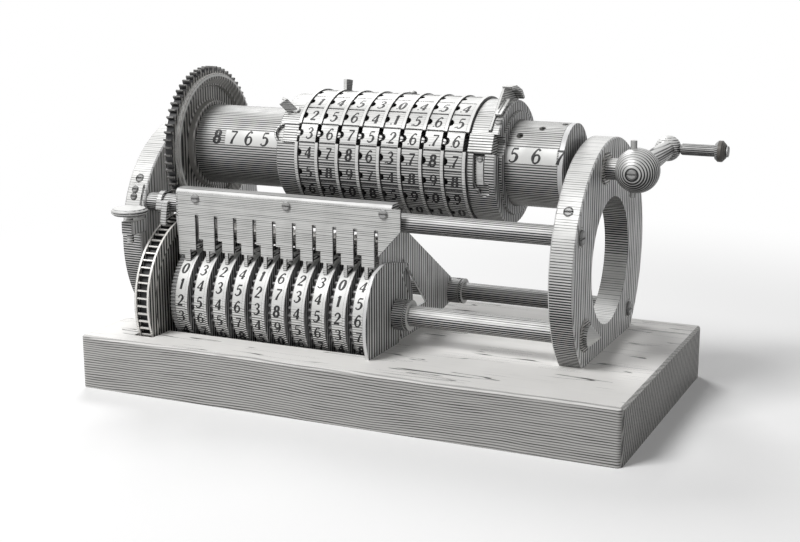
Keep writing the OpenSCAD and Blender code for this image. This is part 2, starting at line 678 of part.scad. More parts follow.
module crank_hub() color("silver") difference() {
    along_x(upper, hub_x) rotate_extrude() difference() {
        intersection() {
            circle(hub_r);
            translate([0, -2 * hub_r]) square([2 * hub_r, 4 * hub_r]);
        }
        translate([-1, -2 * hub_r]) square([shaft_r + seat_fit + 1, 2 * hub_r + 4]);
    }
    crank_side() translate([0, 0, 7]) cylinder(h = hub_r, r = arm_r1 + seat_fit);
    hub_screw_place() translate([0, 0, -1]) cylinder(h = 3, r = 3);
    hub_screw_place() translate([0, 0, -6]) cylinder(h = 7, r = 1.5 + seat_fit);
    cross_pin_place() translate([0, 0, -hub_r - 4]) cylinder(h = 2 * hub_r + 8, r = cross_pin_r + seat_fit);
}

module hub_screw_place() crank_side() rotate([180, 0, 0]) translate([0, 0, hub_r - 0.6]) children();

// Slotted screw in the ball, opposite to the arm
module hub_screw() color("silver") hub_screw_place() translate([0, 0, -1]) slotted_screw(2.9, 1.5, 1.5, 4);

module crank_side() translate([hub_x, upper[0], upper[1]]) rotate([crank_tilt - 90, 0, 0]) children();

module cross_pin_place() translate([hub_x - 2.3, upper[0], upper[1]]) rotate([crank_tilt, 0, 0]) children();

module crank_pin() color("dimgray") cross_pin_place() {
    translate([0, 0, -hub_r - 2.5]) cylinder(h = 2 * hub_r + 6.5, r = cross_pin_r);
}

// Tapered arm with its small ball, bored for the handle's pin
module crank_arm() color("silver") difference() {
    crank_side() {
        translate([0, 0, 7 + seat_fit]) cylinder(h = hub_r - 7, r = arm_r1);
        translate([0, 0, hub_r]) cylinder(h = crank_throw - hub_r, r1 = arm_r1, r2 = arm_r2);
        translate([0, 0, crank_throw]) sphere(ball_r);
    }
    rod_x(crank_end, hub_x - ball_r - 1, hub_x + ball_r + 1, pin_r + seat_fit);
}

pin_r = 1.8;
grip_x = hub_x + ball_r + face_gap;
module handle_pin() color("dimgray") union() {
    rod_x(crank_end, hub_x - ball_r, grip_x + grip_l + knob_t, pin_r);
    rod_x(crank_end, grip_x + grip_l + knob_t, grip_x + grip_l + knob_t + 1, pin_r + 1.4);
}

module handle_grip() color("saddlebrown") difference() {
    along_x(crank_end, grip_x) rotate_extrude() polygon([[0, 0], [grip_r - 0.5, 0], [grip_r, 0.8],
        [grip_r, grip_l], [knob_r - 1.4, grip_l], [knob_r, grip_l + 1.6], [knob_r, grip_l + knob_t - 2.4],
        [knob_r - 2.2, grip_l + knob_t - face_gap], [0, grip_l + knob_t - face_gap]]);
    rod_x(crank_end, grip_x - 1, grip_x + grip_l + knob_t + 1, pin_r + run_fit);
}

// CARRIAGE
module carriage_sleeve() color("lightsteelblue") difference() {
    union() {
        rod_x(upper, carriage_x0, carriage_x1 + 1.5, sleeve_r);
    }
    difference() {
        rod_x(upper, carriage_x0 - 1, carriage_x1 + 4, sleeve_bore_r);
        along_x(upper, carriage_x0 + 6) at(-90) translate([drum_r - keyway_d + face_gap, face_gap - keyway_w / 2, 0])
            cube([keyway_d + 1, keyway_w - 2 * face_gap, carriage_x1 - carriage_x0 - 12]);
    }
    along_x(upper, carriage_x0 - 1) at(read_a) translate([rail_r - face_gap, -rail_w / 2 - face_gap, 0])
        cube([8, rail_w + 2 * face_gap, carriage_x1 - carriage_x0 + 6]);
    latch_pin_way();
}

module latch_pin_way() along_x(upper, latch_x) at(latch_a) translate([20, 0, 0])
    rotate([0, 90, 0]) cylinder(h = 20, r = latch_pin_r + 2.2, $fn = 32);

// Flanges between the rings, cut through at the reading row, with a tab and a stud on top
module ring_spacers() color("white") {
    for (i = [0:ring_count]) along_x(upper, spacer_x(i) - spacer_w / 2) linear_extrude(spacer_w) difference() {
        circle(spacer_r);
        circle(sleeve_r + seat_fit);
        at(read_a) translate([rail_r, -cell_w / 2]) square([20, cell_w]);
    }
    along_x(upper, spacer_x(1) - spacer_w / 2) linear_extrude(spacer_w) difference() {
        sector(spacer_r - 0.5, spacer_r + 6, 93, 104);
        circle(spacer_r - 0.4);
    }
    along_x(upper, spacer_x(4)) at(110) translate([spacer_r - 0.2, 0, 0]) rotate([0, 90, 0])
        rotate_extrude() polygon([[0, 0], [0.95, 0], [0.95, 0.6], [2.6, 0.6], [2.2, 1.7], [1.2, 2.3], [0, 2.3]]);
}

// Left end block with the channel of the locking slide, and a half-round hollow before
// the slide whose rim stands out from the block's end
moon_x = 4.2;
moon_r = cell_w / 2 - 0.3;
moon_rim = 1.2;
moon_depth = 2.5;
module moon_place(r) along_x(upper, carriage_x0 + moon_x) at(read_a) translate([r, 0, 0])
    rotate([0, 90, 0]) children();

module left_end_block() color("lightgray") difference() {
    union() {
        along_x(upper, carriage_x0) bevelled_disc(left_block_r, left_block_l, 0.8);
        intersection() {
            moon_place(sleeve_r + 0.6) cylinder(h = 12, r = moon_r + moon_rim);
            rod_x(upper, carriage_x0 - moon_r, carriage_x0 + moon_x, left_block_r - 0.2);
        }
    }
    rod_x(upper, carriage_x0 - 1, carriage_x0 + left_block_l + 1, sleeve_r + seat_fit);
    along_x(upper, carriage_x0 + moon_x - face_gap) at(read_a) translate([sleeve_r - 4, -cell_w / 2, 0])
        cube([left_block_r - sleeve_r + 6, cell_w, left_block_l]);
    moon_place(left_block_r - moon_depth) cylinder(h = moon_depth + 2, r = moon_r);
    finger_pivot() translate([0, 0, -3.4]) cylinder(h = 6, r = 1.5 + run_fit);
}

module finger_pivot() along_x(upper, carriage_x0 + left_block_l / 2 + 1) at(50)
    translate([left_block_r, 0, 0]) rotate([0, 90, 0]) children();

// Small finger lever, a V of two thin plates that leans to the left
finger_lean = 24;
module finger_lever() color("white") finger_pivot() {
    translate([0, 0, -3]) cylinder(h = 3 + face_gap, r = 1.5);
    translate([0, 0, face_gap]) cylinder(h = 1, r = 2.2);
    intersection() {
        rotate([0, finger_lean, 0]) translate([0, 0, -4]) linear_extrude(14) v_outline(4.6, 1.4, 31);
        translate([-10, -10, face_gap + 0.2]) cube(20);
    }
}

// A V of two arms, each arm l long, t thick and turned a from the middle
module v_outline(l, t, a) {
    along = [cos(a), sin(a)];
    across = t / 2 * [-sin(a), cos(a)];
    apex = t / 2 / sin(a);
    upper_arm = [l * along - across, l * along + across];
    polygon([[apex, 0], upper_arm[0], upper_arm[1], [-apex, 0],
        [upper_arm[1][0], -upper_arm[1][1]], [upper_arm[0][0], -upper_arm[0][1]]]);
}

// Right end block with the slide's channel, the hooked slot and the latch pin's way
module right_end_block() color("lightgray") difference() {
    along_x(upper, carriage_x1 - right_block_l) bevelled_disc(right_block_r, right_block_l, 0.8);
    rod_x(upper, carriage_x1 - right_block_l - 1, carriage_x1 + 1, sleeve_r + seat_fit);
    along_x(upper, carriage_x1 - right_block_l - 1) at(read_a) translate([sleeve_r - 4, -cell_w / 2, 0])
        cube([right_block_r - sleeve_r + 6, cell_w, right_block_l + 2]);
    along_x(upper, lever_x - face_gap) linear_extrude(lever_t + 2 * face_gap)
        sector(right_block_r - lever_depth - 0.6, right_block_r + 1, lever_a0 - 0.6, lever_a1 + 1);
    hooked_slot();
    latch_pin_way();
    latch_screw_place() translate([0, 0, -4.5]) cylinder(h = 8, r = 1.1 + seat_fit);
    spring_screw_place() translate([0, 0, -3]) cylinder(h = 8, r = 1 + seat_fit);
    rod_x(latch_pivot, lever_x - 2.6, lever_x + lever_t + 1, lever_pin_r + seat_fit);
}

slot_x = carriage_x1 - right_block_l + 4;
slot_w = 6.6;
module hooked_slot() {
    along_x(upper, slot_x) linear_extrude(slot_w) sector(sleeve_r + 2.6, right_block_r + 1, -14, 12);
    along_x(upper, slot_x + 2.4) linear_extrude(slot_w) sector(sleeve_r + 2.6, right_block_r + 1, -20, -12);
    for (end = [[12, 0], [-14, 0], [-20, 2.4]]) along_x(upper, slot_x + slot_w / 2 + end[1]) at(end[0])
        translate([sleeve_r + 2.6, 0, 0]) rotate([0, 90, 0]) cylinder(h = 8, r = slot_w / 2 + 0.15);
}

// Curved leaf spring in the hooked slot, held by one screw
module latch_spring() color("white") along_x(upper, slot_x + 1.2) difference() {
    linear_extrude(slot_w - 2.4) sector(sleeve_r + 3, sleeve_r + 4, -15, 12);
    at(10) translate([sleeve_r, 0, slot_w / 2 - 1.2]) rotate([0, 90, 0]) cylinder(h = 10, r = 1 + seat_fit, $fn = 24);
}

module spring_screw_place() along_x(upper, slot_x + slot_w / 2) at(10)
    translate([sleeve_r + 3, 0, 0]) rotate([0, 90, 0]) children();

// Screw beside the latch lever, the lever's pin inside the block and the small screw of
// the leaf spring
module latch_screws() color("silver") {
    rod_x(latch_pivot, lever_x - 2.5, lever_x + lever_t + 0.9, lever_pin_r);
    latch_screw_place() slotted_screw(2.2, 1.1, 1.1, 4);
    spring_screw_place() translate([0, 0, 1]) slotted_screw(1.7, 0.7, 1, 3.6);
}

module latch_screw_place() along_x(upper, carriage_x1 - 2.3) at(46.6)
    translate([right_block_r, 0, 0]) rotate([0, 90, 0]) children();

lever_t = 1.4;
lever_x = latch_x - lever_t / 2;
lever_pin_r = 0.9;
// Depth of the lever in its slot in the block, and the angles at its two ends
lever_depth = 3;
lever_a0 = 36;
lever_a1 = 113;
function above_block(h, a) = (right_block_r + h) * [-cos(a), sin(a)];

// Latch lever: a thin plate in a slot of the block with a straight front edge, a thumb
// plate on top, a slotted strip along its right side, and the pin that stands over the
// drum's holes
module latch_lever() color("gainsboro") difference() {
    union() {
        along_x(upper, lever_x) linear_extrude(lever_t) polygon([above_block(1.4, lever_a0),
            above_block(8.6, 80), above_block(7.8, 90), above_block(5.6, 104), above_block(1.9, lever_a1),
            for (a = [lever_a1:-7:lever_a0]) above_block(-lever_depth, a)]);
        along_x(upper, lever_x) linear_extrude(lever_t + 4) polygon([above_block(9.1, 78), above_block(8.3, 90),
            above_block(6.1, 103), above_block(3, 111), above_block(1.6, 109), above_block(4, 101),
            above_block(6, 90), above_block(6.8, 80)]);
        along_x(upper, lever_x + lever_t - 0.2) linear_extrude(3.6) polygon([above_block(2.6, 51.5),
            above_block(2.6, 76), above_block(1.4, 76), above_block(1.4, 51.5)]);
        along_x(upper, latch_x) at(latch_a) translate([drum_r + face_gap, 0, 0]) rotate([0, 90, 0])
            cylinder(h = right_block_r - drum_r - face_gap - 2, r = latch_pin_r, $fn = 32);
    }
    along_x(upper, lever_x + lever_t + 1.2) linear_extrude(0.8) polygon([above_block(3.6, 53.5),
        above_block(3.6, 74), above_block(1.9, 74), above_block(1.9, 53.5)]);
    rod_x(latch_pivot, lever_x - 1, lever_x + lever_t + 1, lever_pin_r + run_fit);
}

// Locking slide: a thumb plate at the left, a rail under the rings, a tongue in the gap
// before each ring and a grip at the right
module locking_slide() color("whitesmoke") {
    along_x(upper, carriage_x0 + moon_x) at(read_a) translate([rail_r, -rail_w / 2, 0])
        cube([rail_t, rail_w, carriage_x1 - carriage_x0 - moon_x - slide_travel - 0.5]);
    slide_plate(carriage_x0 + moon_x, left_block_l - moon_x - 0.4, left_block_r);
    for (i = [0:ring_count - 1]) slide_tongue(i);
    slide_plate(carriage_x1 - right_block_l + 0.4, right_block_l - slide_travel - 0.9, right_block_r);
}

// A plate one figure wide, on a neck as wide as the rail, level with an end block
module slide_plate(x, l, r) along_x(upper, x) at(read_a) {
    translate([sleeve_r + face_gap, face_gap - cell_w / 2, 0])
        cube([r + 0.4 - sleeve_r - face_gap, cell_w - 2 * face_gap, l]);
    translate([rail_r + 1, -rail_w / 2, 0]) cube([sleeve_r + face_gap + 1 - rail_r - 1, rail_w, l]);
}

module slide_tongue(i) along_x(upper, spacer_x(i)) at(read_a) intersection() {
    translate([rail_r + rail_t - 0.2, 0, spacer_w / 2 - tongue_r]) rotate([0, 90, 0])
        cylinder(h = ring_r - rail_r - rail_t - 0.6, r = tongue_r, $fn = 32);
    translate([rail_r, -tongue_r - 1, i == 0 ? -1.5 : -spacer_w / 2]) cube([12, 2 * tongue_r + 2, 6]);
}

// One number ring: figure fields divided by fine lines, with a half-round notch beside each
module number_ring(i) color("white") along_x(upper, spacer_x(i - 1) + spacer_w / 2 + face_gap) difference() {
    linear_extrude(ring_w) difference() {
        circle(ring_r);
        circle(ring_bore_r);
        for (k = [0:figures - 1]) at(read_a + (k + 0.5) * cell_a)
            translate([ring_r - line_d, -line_w / 2]) square([2, line_w]);
    }
    for (k = [0:figures - 1]) at(read_a + k * cell_a) translate([ring_bore_r - 1, 0, 0])
        rotate([0, 90, 0]) cylinder(h = ring_r - ring_bore_r + 2, r = notch_r, $fn = 24);
}

module number_ring_1() number_ring(1);
module number_ring_2() number_ring(2);
module number_ring_3() number_ring(3);
module number_ring_4() number_ring(4);
module number_ring_5() number_ring(5);
module number_ring_6() number_ring(6);
module number_ring_7() number_ring(7);
module number_ring_8() number_ring(8);

// LOWER SHAFT AND RECORDING WHEELS
module lower_shaft() color("silver") {
    rod_x(lower, left_out_x - bush_flange_t - 1, right_out_x + bush_flange_t + 2, shaft_r);
    along_x(lower, right_out_x + bush_flange_t + 2) cylinder(h = point_l, r1 = shaft_r, r2 = 0.6);
}

// Lower gear: teeth closed in between two flanges
module lower_gear() color("lightgray") difference() {
    union() {
        along_x(lower, lower_gear_x0) linear_extrude(lower_gear_w)
            rotate(gear_facing + 180 + 180 / gear_teeth) gear_outline(gear_teeth, gear_root_r, gear_tip_r);
        for (x = [lower_gear_x0, lower_gear_x1 - shroud_t]) rod_x(lower, x, x + shroud_t, gear_tip_r + 0.3);
        rod_x(lower, lower_gear_x0 - 5, lower_gear_x0 + 1, 13);
    }
    along_x(lower, lower_gear_x1) rotate_extrude() polygon([[13, 1], [gear_root_r - 4, 1],
        [gear_root_r - 6, -2.5], [15, -2.5]]);
    rod_x(lower, lower_gear_x0 - 10, lower_gear_x1 + 10, shaft_r + seat_fit);
}

module shaft_collar() color("silver") difference() {
    rod_x(lower, bracket_x + bracket_t + face_gap, bracket_x + bracket_t + face_gap + 9, shaft_r + 3);
    rod_x(lower, bracket_x, bracket_x + bracket_t + 12, shaft_r + seat_fit);
    collar_groove(lower, bracket_x + bracket_t + 7, shaft_r + 2.2);
    translate([bracket_x + bracket_t + 5, lower[0], lower[1]]) cylinder(h = 12, r = 1.4);
}

// One recording wheel: teeth at the left, the figure band, and a thin flange at the right
module recording_wheel(i) color("white") difference() {
    union() {
        along_x(lower, wheel_x(i)) linear_extrude(wheel_tooth_w + 0.5) {
            if (i == 1) gear_outline(fine_teeth, wheel_r - 1.2, wheel_r - 0.3, 0.7, 0.4);
            else gear_outline(wheel_teeth, wheel_tooth_r - 2.2, wheel_tooth_r, 0.6, 0.3);
        }
        rod_x(lower, wheel_x(i) + wheel_tooth_w, wheel_x(i) + wheel_tooth_w + wheel_band_w, wheel_r);
        rod_x(lower, wheel_x(i) + wheel_w - wheel_flange_w, wheel_x(i) + wheel_w, wheel_flange_r);
    }
    rod_x(lower, wheel_x(i) - 1, wheel_x(i) + wheel_w + 1, shaft_r + run_fit);
}

module recording_wheel_1() recording_wheel(1);
module recording_wheel_2() recording_wheel(2);
module recording_wheel_3() recording_wheel(3);
module recording_wheel_4() recording_wheel(4);
module recording_wheel_5() recording_wheel(5);
module recording_wheel_6() recording_wheel(6);
module recording_wheel_7() recording_wheel(7);
module recording_wheel_8() recording_wheel(8);
module recording_wheel_9() recording_wheel(9);
module recording_wheel_10() recording_wheel(10);

base_block();
left_end_frame();
right_end_frame();
front_tie_rod();
rear_tie_rod();
frame_screws();
foot_screws();
shaft_bushes();
comb_bar();
comb_plate();
comb_screws();
left_web_plate();
right_web_plate();
bearing_bracket();
rod_collar();
carry_shaft();
carry_pinions();
button_bracket();
thumb_button();
gear_pawl();
main_shaft();
drum();
drum_end_plate();
drum_gear();
crank_hub();
hub_screw();
crank_pin();
crank_arm();
handle_pin();
handle_grip();
carriage_sleeve();
ring_spacers();
left_end_block();
right_end_block();
locking_slide();
latch_lever();
latch_spring();
latch_screws();
finger_lever();
number_ring_1();
number_ring_2();
number_ring_3();
number_ring_4();
number_ring_5();
number_ring_6();
number_ring_7();
number_ring_8();
lower_shaft();
lower_gear();
shaft_collar();
recording_wheel_1();
recording_wheel_2();
recording_wheel_3();
recording_wheel_4();
recording_wheel_5();
recording_wheel_6();
recording_wheel_7();
recording_wheel_8();
recording_wheel_9();
recording_wheel_10();
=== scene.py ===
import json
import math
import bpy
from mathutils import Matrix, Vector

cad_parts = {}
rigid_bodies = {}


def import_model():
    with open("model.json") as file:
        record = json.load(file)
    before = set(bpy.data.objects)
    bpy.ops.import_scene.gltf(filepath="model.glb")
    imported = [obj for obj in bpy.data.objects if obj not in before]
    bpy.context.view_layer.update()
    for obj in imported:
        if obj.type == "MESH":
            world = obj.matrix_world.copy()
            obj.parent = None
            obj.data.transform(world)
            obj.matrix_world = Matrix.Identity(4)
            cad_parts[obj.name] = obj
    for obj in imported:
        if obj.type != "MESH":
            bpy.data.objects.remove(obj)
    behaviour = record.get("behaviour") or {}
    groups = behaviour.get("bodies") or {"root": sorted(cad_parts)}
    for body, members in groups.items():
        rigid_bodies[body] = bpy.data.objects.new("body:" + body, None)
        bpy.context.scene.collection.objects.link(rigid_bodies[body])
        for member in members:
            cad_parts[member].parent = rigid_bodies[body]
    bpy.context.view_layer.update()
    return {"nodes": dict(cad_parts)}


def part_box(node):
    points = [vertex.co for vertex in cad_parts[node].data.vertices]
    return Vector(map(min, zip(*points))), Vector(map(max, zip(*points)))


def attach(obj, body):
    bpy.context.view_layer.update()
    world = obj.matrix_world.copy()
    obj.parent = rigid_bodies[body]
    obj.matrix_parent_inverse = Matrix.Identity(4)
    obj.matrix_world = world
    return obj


bl_info = {
    "name": "Barrel calculating machine",
    "version": (1, 0, 0),
    "blender": (4, 5, 0),
    "location": "View3D > Sidebar > Calculator",
    "description": "Dresses the packed frame of a hand-cranked barrel calculating machine",
    "category": "Object",
}

import bmesh
import bpy
from bpy.props import FloatProperty, FloatVectorProperty, PointerProperty
from mathutils import Euler, Vector

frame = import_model()
NODES = frame["nodes"]

MM = 0.001
FIGURES_ROUND = 20
READING_ANGLE = math.radians(24)
STEP_ANGLE = 2 * math.pi / FIGURES_ROUND
# The figure that each ring shows in the reading row, from the left
RING_READS = (3, 6, 7, 5, 2, 6, 7, 6)
# The figure at the top of each recording wheel, just under the comb, from the left
WHEEL_READS = (0, 3, 2, 4, 1, 6, 2, 3, 0, 4)
WHEEL_TOP_ANGLE = math.radians(40)
WHEEL_FLANGE_RISE = 1.0 * MM
WHEEL_TEETH_WIDTH = 3.6 * MM
WHEEL_BAND_WIDTH = 7.2 * MM
# Rows of figures above the reading row, where the figures stand across a ring's width, and the first ring
# whose figures have a dot beside them
ROWS_ABOVE = 3
RING_FIGURE_SHARE = 0.60
FIRST_DOTTED_RING = 5
# The white strip along the drum, and the rows of figures on it: the first one's place and the step along
# the drum in millimetres, and how many there are
STRIP_ANGLE = math.radians(19)
STRIP_HALF_ANGLE = math.radians(11.5)
STRIP_RISE = 0.12 * MM
STRIP_START = -103.5 * MM
STRIP_END_GAP = 0.5 * MM
DRUM_FIGURES = (("left", -108.8, 10.9, 8), ("right", 106.3, -13.0, 7))


def centre_and_radius(node):
    """Middle of a round node's box, and half its height."""
    low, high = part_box(node)
    return (low + high) / 2, (high.z - low.z) / 2


UPPER_AXIS, RING_RADIUS = centre_and_radius("number_ring_1")
DRUM_RADIUS = centre_and_radius("drum")[1]
LOWER_AXIS, FLANGE_RADIUS = centre_and_radius("recording_wheel_2")
WHEEL_RADIUS = FLANGE_RADIUS - WHEEL_FLANGE_RISE
FRAME_RADIUS = (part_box("right_end_frame")[1].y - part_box("right_end_frame")[0].y) / 2


# Sizes and colours that a user would change

class FigureSettings(bpy.types.PropertyGroup):
    height: FloatProperty(
        name="Figure height", description="Height of the figures on rings and wheels",
        default=6.4 * MM, min=4 * MM, max=8 * MM, unit="LENGTH")
    drum_height: FloatProperty(
        name="Drum figure height", description="Height of the figures on the drum",
        default=7.9 * MM, min=4 * MM, max=9 * MM, unit="LENGTH")
    relief: FloatProperty(
        name="Relief", description="How far the black filling stands above the metal",
        default=0.05 * MM, min=0.01 * MM, max=0.2 * MM, unit="LENGTH")
    slant: FloatProperty(
        name="Slant", description="Lean of the figures to the right",
        default=math.radians(7), min=0, max=math.radians(25), subtype="ANGLE")
    colour: FloatVectorProperty(
        name="Figure colour", description="Colour of the filling in the figures",
        default=(0.012, 0.012, 0.013), size=3, min=0, max=1, subtype="COLOR")


class MetalSettings(bpy.types.PropertyGroup):
    silvered: FloatVectorProperty(
        name="Silvered metal", description="Rings, wheels, comb, levers, long shafts and rims",
        default=(0.80, 0.80, 0.785), size=3, min=0, max=1, subtype="COLOR")
    bright: FloatVectorProperty(
        name="Bright steel", description="Rods, comb bar, crank and screws",
        default=(0.74, 0.74, 0.73), size=3, min=0, max=1, subtype="COLOR")
    drum: FloatVectorProperty(
        name="Drum", description="Round surface of the drum",
        default=(0.67, 0.67, 0.655), size=3, min=0, max=1, subtype="COLOR")
    gear: FloatVectorProperty(
        name="Gears", description="The two large gears, the pinions and the bushes",
        default=(0.50, 0.49, 0.47), size=3, min=0, max=1, subtype="COLOR")
    dark: FloatVectorProperty(
        name="Dark iron", description="Faces of frames, plates and blocks, and sides of rings and wheels",
        default=(0.42, 0.42, 0.42), size=3, min=0, max=1, subtype="COLOR")
    line: FloatVectorProperty(
        name="Line colour", description="Tool marks and the dark lines along the edges",
        default=(0.018, 0.018, 0.019), size=3, min=0, max=1, subtype="COLOR")
    line_spacing: FloatProperty(
        name="Line spacing", description="Distance between the tool marks",
        default=1.6 * MM, min=0.4 * MM, max=3 * MM, unit="LENGTH")


class WoodSettings(bpy.types.PropertyGroup):
    light: FloatVectorProperty(
        name="Light grain", description="Wood between the grain lines",
        default=(0.76, 0.75, 0.73), size=3, min=0, max=1, subtype="COLOR")
    dark: FloatVectorProperty(
        name="Dark grain", description="Grain lines of the wood",
        default=(0.034, 0.033, 0.031), size=3, min=0, max=1, subtype="COLOR")
    grain_spacing: FloatProperty(
        name="Grain spacing", description="Distance between the grain lines on the front",
        default=1.45 * MM, min=0.5 * MM, max=4 * MM, unit="LENGTH")


class StageSettings(bpy.types.PropertyGroup):
    floor_size: FloatProperty(
        name="Floor size", description="Side of the square floor",
        default=30, min=5, max=60, unit="LENGTH")
    shadow_reach: FloatProperty(
        name="Shadow reach", description="Distance from the middle at which the floor starts to turn white",
        default=0.30, min=0.1, max=2, unit="LENGTH")
    lens: FloatProperty(
        name="Lens", description="Focal length of the camera in millimetres",
        default=63.0, min=20, max=200)
    key_strength: FloatProperty(
        name="Key light", description="Power of the main soft light in watts",
        default=31, min=0, max=200)
    back_strength: FloatProperty(
        name="Back light", description="Power of the light behind, which lays the shadow in front, in watts",
        default=9, min=0, max=200)


SETTINGS = {
    "calculator_figures": FigureSettings,
    "calculator_metal": MetalSettings,
    "calculator_wood": WoodSettings,
    "calculator_stage": StageSettings,
}


# Node trees

# The factor, both values and the result among the sockets of a Mix node, for each kind of value
MIX_SOCKETS = {"RGBA": (0, 6, 7, 2), "FLOAT": (0, 2, 3, 0)}


class Graph:
    """A short way to add and join nodes in a shader or geometry tree."""

    def __init__(self, tree):
        self.tree = tree

    def feed(self, socket, value):
        """Joins a socket to another one or to a node's first output, or sets its value."""
        if isinstance(value, bpy.types.Node):
            value = value.outputs[0]
        if isinstance(value, bpy.types.NodeSocket):
            self.tree.links.new(value, socket)
        elif value is not None:
            socket.default_value = (*value, 1) if socket.type == "RGBA" else value

    def add(self, kind, *values, named=None, **settings):
        node = self.tree.nodes.new(kind)
        for key, value in settings.items():
            setattr(node, key, value)
        for index, value in enumerate(values):
            self.feed(node.inputs[index], value)
        for key, value in (named or {}).items():
            self.feed(node.inputs[key], value)
        return node

    def math(self, operation, a, b=None, c=None, clamp=False):
        return self.add("ShaderNodeMath", a, b, c, operation=operation, use_clamp=clamp).outputs[0]

    def times(self, a, b):
        return self.math("MULTIPLY", a, b)

    def vector(self, operation, a, b=None):
        node = self.add("ShaderNodeVectorMath", a, b, operation=operation)
        return node.outputs["Value" if operation in ("DOT_PRODUCT", "LENGTH") else "Vector"]

    def mix(self, factor, a, b, kind="RGBA"):
        node = self.add("ShaderNodeMix", data_type=kind)
        *inputs, result = MIX_SOCKETS[kind]
        for index, value in zip(inputs, (factor, a, b)):
            self.feed(node.inputs[index], value)
        return node.outputs[result]

    def ramp(self, value, low, high, shape="SMOOTHSTEP"):
        """0 below low, 1 above high, smooth between."""
        return self.add("ShaderNodeMapRange", value, low, high, interpolation_type=shape).outputs[0]

    def noise(self, place, detail, scale=1.0):
        return self.add("ShaderNodeTexNoise", place, named={"Scale": scale, "Detail": detail}).outputs["Fac"]

    def local_normal(self):
        """The way that the surface faces, on the piece's own axes."""
        normal = self.add("ShaderNodeNewGeometry").outputs["Normal"]
        return self.add("ShaderNodeVectorTransform", normal, vector_type="NORMAL",
                        convert_from="WORLD", convert_to="OBJECT").outputs[0]


def emptied(holder):
    """The node tree of a material or world, without its first nodes."""
    holder.use_nodes = True
    holder.node_tree.nodes.clear()
    return holder.node_tree


def new_group(name, inputs, outputs, kind="ShaderNodeTree"):
    """A node group's graph, and its input and output sockets.

    An input is a name, a kind of value and a default, and an output a name and a kind of value.
    """
    tree = bpy.data.node_groups.new(name, kind)
    for label, value_kind, default in inputs:
        socket = tree.interface.new_socket(label, in_out="INPUT", socket_type="NodeSocket" + value_kind)
        if default is not None:
            socket.default_value = default
    for label, value_kind in outputs:
        tree.interface.new_socket(label, in_out="OUTPUT", socket_type="NodeSocket" + value_kind)
    graph = Graph(tree)
    return graph, graph.add("NodeGroupInput").outputs, graph.add("NodeGroupOutput").inputs


def scaled(colour, share):
    return tuple(channel * share for channel in colour)


def build_tool_marks():
    """Parallel lines: a mask that is 1 in a line, wider where Weight is high, broken up where it is low."""
    wander = 2.5
    threshold, swell, blur = 0.85, -2.2, 0.5
    gap_range, filling = (0.42, 0.58), 2.0
    graph, given, out = new_group(
        "tool_marks",
        [("Vector", "Vector", None), ("Across", "Vector", (0, 0, 1)), ("Spacing", "Float", 1.6 * MM),
         ("Stretch", "Vector", (20, 400, 400)), ("Weight", "Float", 0.4)],
        [("Lines", "Float")])
    # Weight carries the painted shade, so the lines widen on the sides away from the light
    weight = given["Weight"]
    drift = graph.noise(graph.vector("MULTIPLY", given["Vector"], given["Stretch"]), 2.0)
    place = graph.vector("DOT_PRODUCT", given["Vector"], given["Across"])
    phase = graph.times(graph.math("DIVIDE", place, given["Spacing"]), 2 * math.pi)
    wave = graph.math("SINE", graph.math("MULTIPLY_ADD", drift, wander, phase))
    start = graph.math("MULTIPLY_ADD", weight, swell, threshold)
    line = graph.ramp(wave, start, graph.math("ADD", start, blur))
    unbroken = graph.ramp(drift, *gap_range)
    whole = graph.math("MULTIPLY_ADD", weight, filling, unbroken, clamp=True)
    graph.feed(out["Lines"], graph.times(line, whole))


def build_painted_shade_side():
    """Painted shade: 1 on surfaces that face away from the light at the front, top and left, where tool marks
    lie closest, so that those sides read as shaded.
    """
    lit_end, shaded_end = 0.78, -0.12
    graph, given, out = new_group(
        "painted_shade_side", [("Light Direction", "Vector", (-0.30, -0.52, 0.80))], [("Painted Shade", "Float")])
    towards = graph.vector("DOT_PRODUCT", graph.local_normal(), given["Light Direction"])
    graph.feed(out["Painted Shade"], graph.ramp(towards, lit_end, shaded_end, "LINEAR"))


def build_tarnish():
    """Cloudy wear at two scales, for colour and roughness."""
    cloud_range, speck_range, specks_per_cloud = (0.4, 0.72), (0.62, 0.75), 14.0
    graph, given, out = new_group(
        "tarnish", [("Vector", "Vector", None), ("Scale", "Float", 60.0)],
        [("Clouds", "Float"), ("Specks", "Float")])
    clouds = graph.add("ShaderNodeTexNoise", given["Vector"],
                       named={"Scale": given["Scale"], "Detail": 4.0, "Roughness": 0.6}).outputs["Fac"]
    specks = graph.noise(given["Vector"], 2.0, graph.times(given["Scale"], specks_per_cloud))
    graph.feed(out["Clouds"], graph.ramp(clouds, *cloud_range))
    graph.feed(out["Specks"], graph.ramp(specks, *speck_range))


def build_dark_edge_lines():
    """A mask along sharp edges, which close() uses to darken colours into outlines on outer corners and
    painted shade in creases, and a normal that rounds them.
    """
    turn_range = (0.02, 0.2)
    graph, given, out = new_group(
        "dark_edge_lines", [("Radius", "Float", 0.4 * MM)], [("Edge", "Float"), ("Normal", "Vector")])
    rounded = graph.add("ShaderNodeBevel", given["Radius"], samples=4).outputs["Normal"]
    flat = graph.add("ShaderNodeNewGeometry").outputs["Normal"]
    turn = graph.math("SUBTRACT", 1.0, graph.vector("DOT_PRODUCT", rounded, flat))
    graph.feed(out["Edge"], graph.ramp(turn, *turn_range))
    graph.feed(out["Normal"], rounded)


GROUP_BUILDERS = (build_tool_marks, build_painted_shade_side, build_tarnish, build_dark_edge_lines)


# Finishes

# Directions across the tool marks, and how the marks are drawn out along each direction
ACROSS_X = (1, 0, 0)
ACROSS_Y = (0, 1, 0)
ACROSS_Z = (0, 0, 1)
ALONG_X = (12, 500, 500)
ALONG_Y = (500, 12, 500)
ALONG_Z = (0, 170, 12)

# The most that tool marks may weigh where they thicken into painted shade: on pieces with figures they stay
# further apart, so that the figures can be read on every side
PLAIN = 0.80
FIGURED = 0.66

